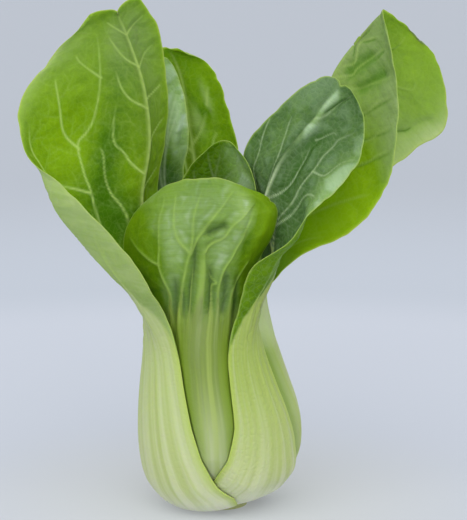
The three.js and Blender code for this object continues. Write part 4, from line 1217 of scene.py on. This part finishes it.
class LeafGraph(Graph):
    """A leaf's graph, with what its mesh says about each point, and the noises that several steps share."""

    def __init__(self, slot, look):
        super().__init__(slot)
        self.look = look
        self.stalk, self.vein, self.rim = self.split("tissue")
        self.quilt, self.cover, _ = self.split("detail")
        self.deep, self.bloom_and_sheen, self.furrow_shade = self.split("tone")
        self.across, self.height, self.inside = self.split("place")
        place = self.add("ShaderNodeAttribute", attribute_name="place", output="Vector")
        self.ripples = self.noise(self.stretched(place, RIPPLE_STRETCH), *RIPPLES)
        self.streaks = self.noise(self.stretched(place, STREAK_STRETCH), *STREAKS)
        self.fibres = self.noise(self.stretched(place, FIBRE_STRETCH), *FIBRES)
        self.broad = self.noise(self.spot, *BROAD)
        net = {"Vector": self.spot, "Scale": NET_SCALE}
        self.cells = self.add("ShaderNodeTexVoronoi", net, feature="DISTANCE_TO_EDGE")

    def tint(self, base, amount, name):
        return self.mix(amount, base, colour(self.look[name]))

    def scatter(self, noise, strength):
        return self.times(self.minus(self.noise(self.spot, *noise), 0.5), strength)

    def blade_colour(self):
        look = self.look
        # Deep green: the leaf's own darker green, with painted shade in valleys and painted light where a
        # face turns down.
        uneven = self.plus(self.deep, self.scatter(CLOUDS, CLOUD_STRENGTH))
        depth = self.plus(uneven, self.scatter(MOTTLE, MOTTLE_STRENGTH), True)
        blade = self.tint(colour(look["blade_light"]), depth, "blade_deep")
        # Waxy bloom, speckled, with painted sheen on ridges, folds and curled margins.
        speckle = self.ramp(self.noise(self.spot, *SPECKLE), *SPECKLE_RAMP)
        quilted = self.ramp(self.quilt, 0.1, 0.9, look["quilted"], 1.0)
        rippled = self.ramp(self.ripples, 0.3, 0.7, look["rippled"], 1.0)
        bloom_and_sheen_mask = self.times(self.times(self.bloom_and_sheen, speckle), self.times(quilted, rippled))
        blade = self.tint(blade, bloom_and_sheen_mask, "bloom_and_sheen")
        # Furrows: painted shade in the grooves.
        blade = self.tint(blade, self.times(self.furrow_shade, FURROW_SHADE_STRENGTH, True), "furrow_shade")
        blade = self.tint(blade, self.ramp(self.cells, 0.0, NET_WIDTH, look["net"], 0.0), "vein")
        blade = self.tint(blade, self.times(self.vein, look["vein_strength"], True), "vein")
        blade = self.tint(blade, self.ramp(self.vein, *VEIN_BASE_RAMP), "vein_base")
        return self.tint(blade, self.times(self.rim, RIM_STRENGTH), "margin")

    def stalk_colour(self):
        look = self.look
        from_middle = self.math("ABSOLUTE", self.across, 0.0)
        low = self.ramp(self.height, FOOT_BOTTOM, look["foot_top"])
        flesh = self.tint(colour(look["stalk_foot"]), low, "stalk_middle")
        flesh = self.tint(flesh, self.ramp(self.height, *TOP_RAMP), "stalk_top")
        green = self.times(self.ramp(self.streaks, *GREEN_STREAKS), self.ramp(self.height, *GREEN_CLIMB))
        flesh = self.tint(flesh, green, "stalk_streak")
        pale = self.ramp(self.streaks, *PALE_STREAKS, look["streaked"])
        flesh = self.tint(flesh, pale, "stalk_pale")
        flesh = self.tint(flesh, self.ramp(self.fibres, *THREADS), "stalk_streak")
        # A pale band down the middle of a stalk: a painted highlight on its rounded front.
        centre = self.ramp(from_middle, *CENTRE_HIGHLIGHT_WIDTH, look["centre"])
        centre = self.times(centre, self.ramp(self.height, *CENTRE_HIGHLIGHT_CLIMB))
        flesh = self.tint(flesh, centre, "stalk_pale")
        flesh = self.tint(flesh, self.ramp(from_middle, *SIDE_RAMP), "stalk_side")
        # Painted shade on a stalk's outside, beside the edge of a stalk that lies over it.
        low = look["shade_low"]
        shade = self.times(self.cover, self.minus(1.0, self.inside))
        shade = self.times(shade, self.ramp(self.height, low, low + SHADE_CLIMB, *SHADE_ENDS))
        return self.tint(flesh, shade, "stalk_painted_shade")

    def bump(self):
        lines = self.times(self.times(self.fibres, self.stalk), FIBRE_HEIGHT)
        lines = self.plus(lines, self.times(self.ripples, self.minus(1.0, self.stalk)))
        net = self.times(self.ramp(self.cells, 0.0, 0.3), self.look["wrinkle"])
        grain = self.times(self.noise(self.spot, *GRAIN), GRAIN_HEIGHT)
        heights = self.plus(grain, self.times(self.broad, BROAD_HEIGHT))
        heights = self.plus(self.plus(heights, lines), net)
        return self.add("ShaderNodeBump", BUMP | {"Height": heights})


def leaf_material(slot, look):
    g = LeafGraph(slot, look)
    rough = g.plus(g.times(g.broad, BROAD_ROUGHNESS), look["rough"] - 0.1)
    shader = g.add("ShaderNodeBsdfPrincipled", LEAF_LIGHT | {
        "Base Color": g.mix(g.stalk, g.blade_colour(), g.stalk_colour()),
        "Roughness": rough,
        "Normal": g.bump(),
        "Specular IOR Level": look["gloss"],
        "Subsurface Weight": look["glow"],
    })
    return g.finish(shader)


def stem_material():
    g = Graph("stem_flesh")
    flat = g.stretched(g.spot, (1.0, 1.0, 0.0))
    rings = g.add("ShaderNodeTexWave", {"Vector": flat, "Scale": 90.0, "Distortion": 3.0, "Detail": 3.0},
                  wave_type="RINGS", rings_direction="SPHERICAL")
    pith = g.noise(g.spot, 420.0, 4.0, 0.6)
    # The stem's cut end: its own colour darkened to a shadowy olive, painted shade where it shows under the
    # lifted right stalk.
    flesh = g.mix(g.ramp(rings, 0.2, 0.9), colour("#A8AE72"), colour("#98A058"))
    flesh = g.mix(g.ramp(pith, 0.5, 0.75, 0.0, 0.5), flesh, colour("#888E4C"))
    shader = g.add("ShaderNodeBsdfPrincipled", {
        "Base Color": flesh,
        "Roughness": g.ramp(pith, 0.3, 0.7, 0.45, 0.7),
        "Normal": g.add("ShaderNodeBump", {"Strength": 0.5, "Distance": 0.0003, "Height": pith}),
        "Subsurface Weight": 0.3,
        "Subsurface Radius": (1.0, 1.0, 0.6),
        "Subsurface Scale": 0.002,
    })
    return g.finish(shader)


STALK = dict(
    stalk_foot="#E4E6D4", stalk_middle="#C4CC9A", stalk_top="#B0BE80", stalk_streak="#AABA68",
    stalk_pale="#D2D7BA", stalk_side="#A8BC54", stalk_painted_shade="#7A9624", vein_base="#C9D896",
    foot_top=-3.4, streaked=0.3, shade_low=-4.5, quilted=0.5, centre=0.0, rippled=0.85,
    vein_strength=0.85, net=0.05, glow=0.4,
)
LOOKS = dict(
    bright_leaf=dict(
        STALK, blade_light="#86A808", blade_deep="#406800", bloom_and_sheen="#B2C288", furrow_shade="#4C7812",
        vein="#B2CA70", margin="#A4BB5E", stalk_painted_shade="#6C8C20",
        shade_low=-6.2, quilted=0.88, wrinkle=0.6, rough=0.6, gloss=0.12,
    ),
    bloomed_leaf=dict(
        STALK, blade_light="#7AA200", blade_deep="#2E5402", bloom_and_sheen="#A3BC98", furrow_shade="#345C14",
        vein="#BCCFA4", vein_base="#E6EED6", margin="#A2BC5C", stalk_top="#96AA50",
        stalk_middle="#C2CB92", foot_top=-2.8, wrinkle=1.3, rough=0.5, gloss=0.18, glow=0.3,
    ),
    # This look's stalk is darker at its top, painted shade under the blades over it, near white at its
    # foot, painted light against the shade of its recess, and has a painted highlight down its middle.
    light_leaf=dict(
        STALK, blade_light="#7FA208", blade_deep="#426A02", bloom_and_sheen="#A9BF94", furrow_shade="#46622E",
        vein="#A3BE5C", vein_base="#AEC468", margin="#A5BA60", stalk_top="#6C8230",
        stalk_middle="#D2DAAE", stalk_foot="#FCFCF4", stalk_streak="#A6B862",
        stalk_pale="#D2DAB0", stalk_side="#A8BC5C", stalk_painted_shade="#7A9626", foot_top=-1.2,
        net=0.04, vein_strength=0.75, centre=0.5, rippled=0.6, wrinkle=0.4,
        rough=0.5, gloss=0.2,
    ),
    heart_leaf=dict(
        STALK, blade_light="#A4BC52", blade_deep="#86A42C", bloom_and_sheen="#B7CB7A", furrow_shade="#7A9A30",
        vein="#B9CC74", margin="#BCCB78", net=0.06, vein_strength=0.7, wrinkle=0.5,
        rough=0.45, gloss=0.3,
    ),
)


# ---- The picture: camera, light and floor ----
CAMERA_TARGET = Vector((5.4, 0.0, 100.5)) * MM
CAMERA_DISTANCE = 0.85
CAMERA_ELEVATION = math.radians(10)
SENSOR = 36.0
FRAME_HEIGHT = 0.208  # metres at the target
WORLD_COLOUR = "#F4F6FA"
WORLD_STRENGTH = 0.76
LIGHTS = [  # name, where it shines from, strength, and its angular size in degrees
    ("key", (-0.5, -1.4, 1.7), 1.2, 60),
    ("fill", (1.1, -1.5, 1.3), 0.6, 80),
    ("front", (0.0, -2.0, 0.4), 0.4, 50),
]
FLOOR_HALF_SIZE = 6.0
FLOOR_GLOW = 0.55  # painted light: the floor glows like the bright sweep of a studio floor, which keeps its shadows light
# Floor tones: lighter right round the head, painted light against its contact shadow, and darker farther
# out, a painted falloff of the light.
FLOOR_LIT_FOOT = "#A6A9AC"
FLOOR_FALLOFF_TONES = [(0.03, 0.15, "#A1A6AF"), (0.36, 0.48, "#9AA0A9"), (0.48, 1.0, "#92979F")]


def aim(thing, target):
    direction = target - thing.location
    thing.rotation_euler = direction.to_track_quat("-Z", "Y").to_euler()


def add_camera():
    camera = add_object("camera", bpy.data.cameras.new("camera"))
    camera.data.sensor_width = SENSOR
    camera.data.lens = SENSOR * CAMERA_DISTANCE / FRAME_HEIGHT
    back = Vector((0, -math.cos(CAMERA_ELEVATION), math.sin(CAMERA_ELEVATION)))
    camera.location = CAMERA_TARGET + back * CAMERA_DISTANCE
    aim(camera, CAMERA_TARGET)
    bpy.context.scene.camera = camera


def add_soft_light(name, place, strength, size):
    """A huge softbox far away: it lights the whole floor evenly."""
    light = bpy.data.lights.new(name, "SUN")
    light.energy = strength
    light.angle = math.radians(size)
    lamp = add_object(name, light)
    lamp.location = place
    aim(lamp, Vector((0, 0, 0)))


def add_world():
    world = bpy.data.worlds.new("studio")
    world.use_nodes = True
    background = world.node_tree.nodes["Background"]
    background.inputs["Color"].default_value = colour(WORLD_COLOUR)
    background.inputs["Strength"].default_value = WORLD_STRENGTH
    bpy.context.scene.world = world


def add_floor():
    size = FLOOR_HALF_SIZE
    mesh = bpy.data.meshes.new("floor")
    corners = [(-size, -size, 0), (size, -size, 0), (size, size, 0), (-size, size, 0)]
    mesh.from_pydata(corners, [], [(0, 1, 2, 3)])
    g = Graph("floor")
    distance = g.add("ShaderNodeVectorMath", {0: g.spot}, output="Value", operation="LENGTH")
    tone = colour(FLOOR_LIT_FOOT)
    for start, end, code in FLOOR_FALLOFF_TONES:
        tone = g.mix(g.ramp(distance, start, end), tone, colour(code))
    shader = g.add("ShaderNodeBsdfPrincipled", {
        "Base Color": tone, "Roughness": 0.9, "Emission Color": tone, "Emission Strength": FLOOR_GLOW,
    })
    mesh.materials.append(g.finish(shader))
    floor = add_object("floor", mesh)


add_camera()
add_world()
add_floor()
for light in LIGHTS:
    add_soft_light(*light)
bpy.context.scene.view_settings.view_transform = "Standard"

SLOTS = {row["node"]: row["material_slot"] for row in frame["record"]["subparts"]}
MATERIALS = {slot: leaf_material(slot, look) for slot, look in LOOKS.items()}
for number, row in enumerate(LEAVES):
    piece = leaf_piece(number)
    slot = SLOTS[row["name"]]
    piece.data.materials.append(MATERIALS[slot])
    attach(piece, "root")
    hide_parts(row["name"])

stem = frame["nodes"]["stem_base"]
stem.data.materials.clear()
stem.data.materials.append(stem_material())
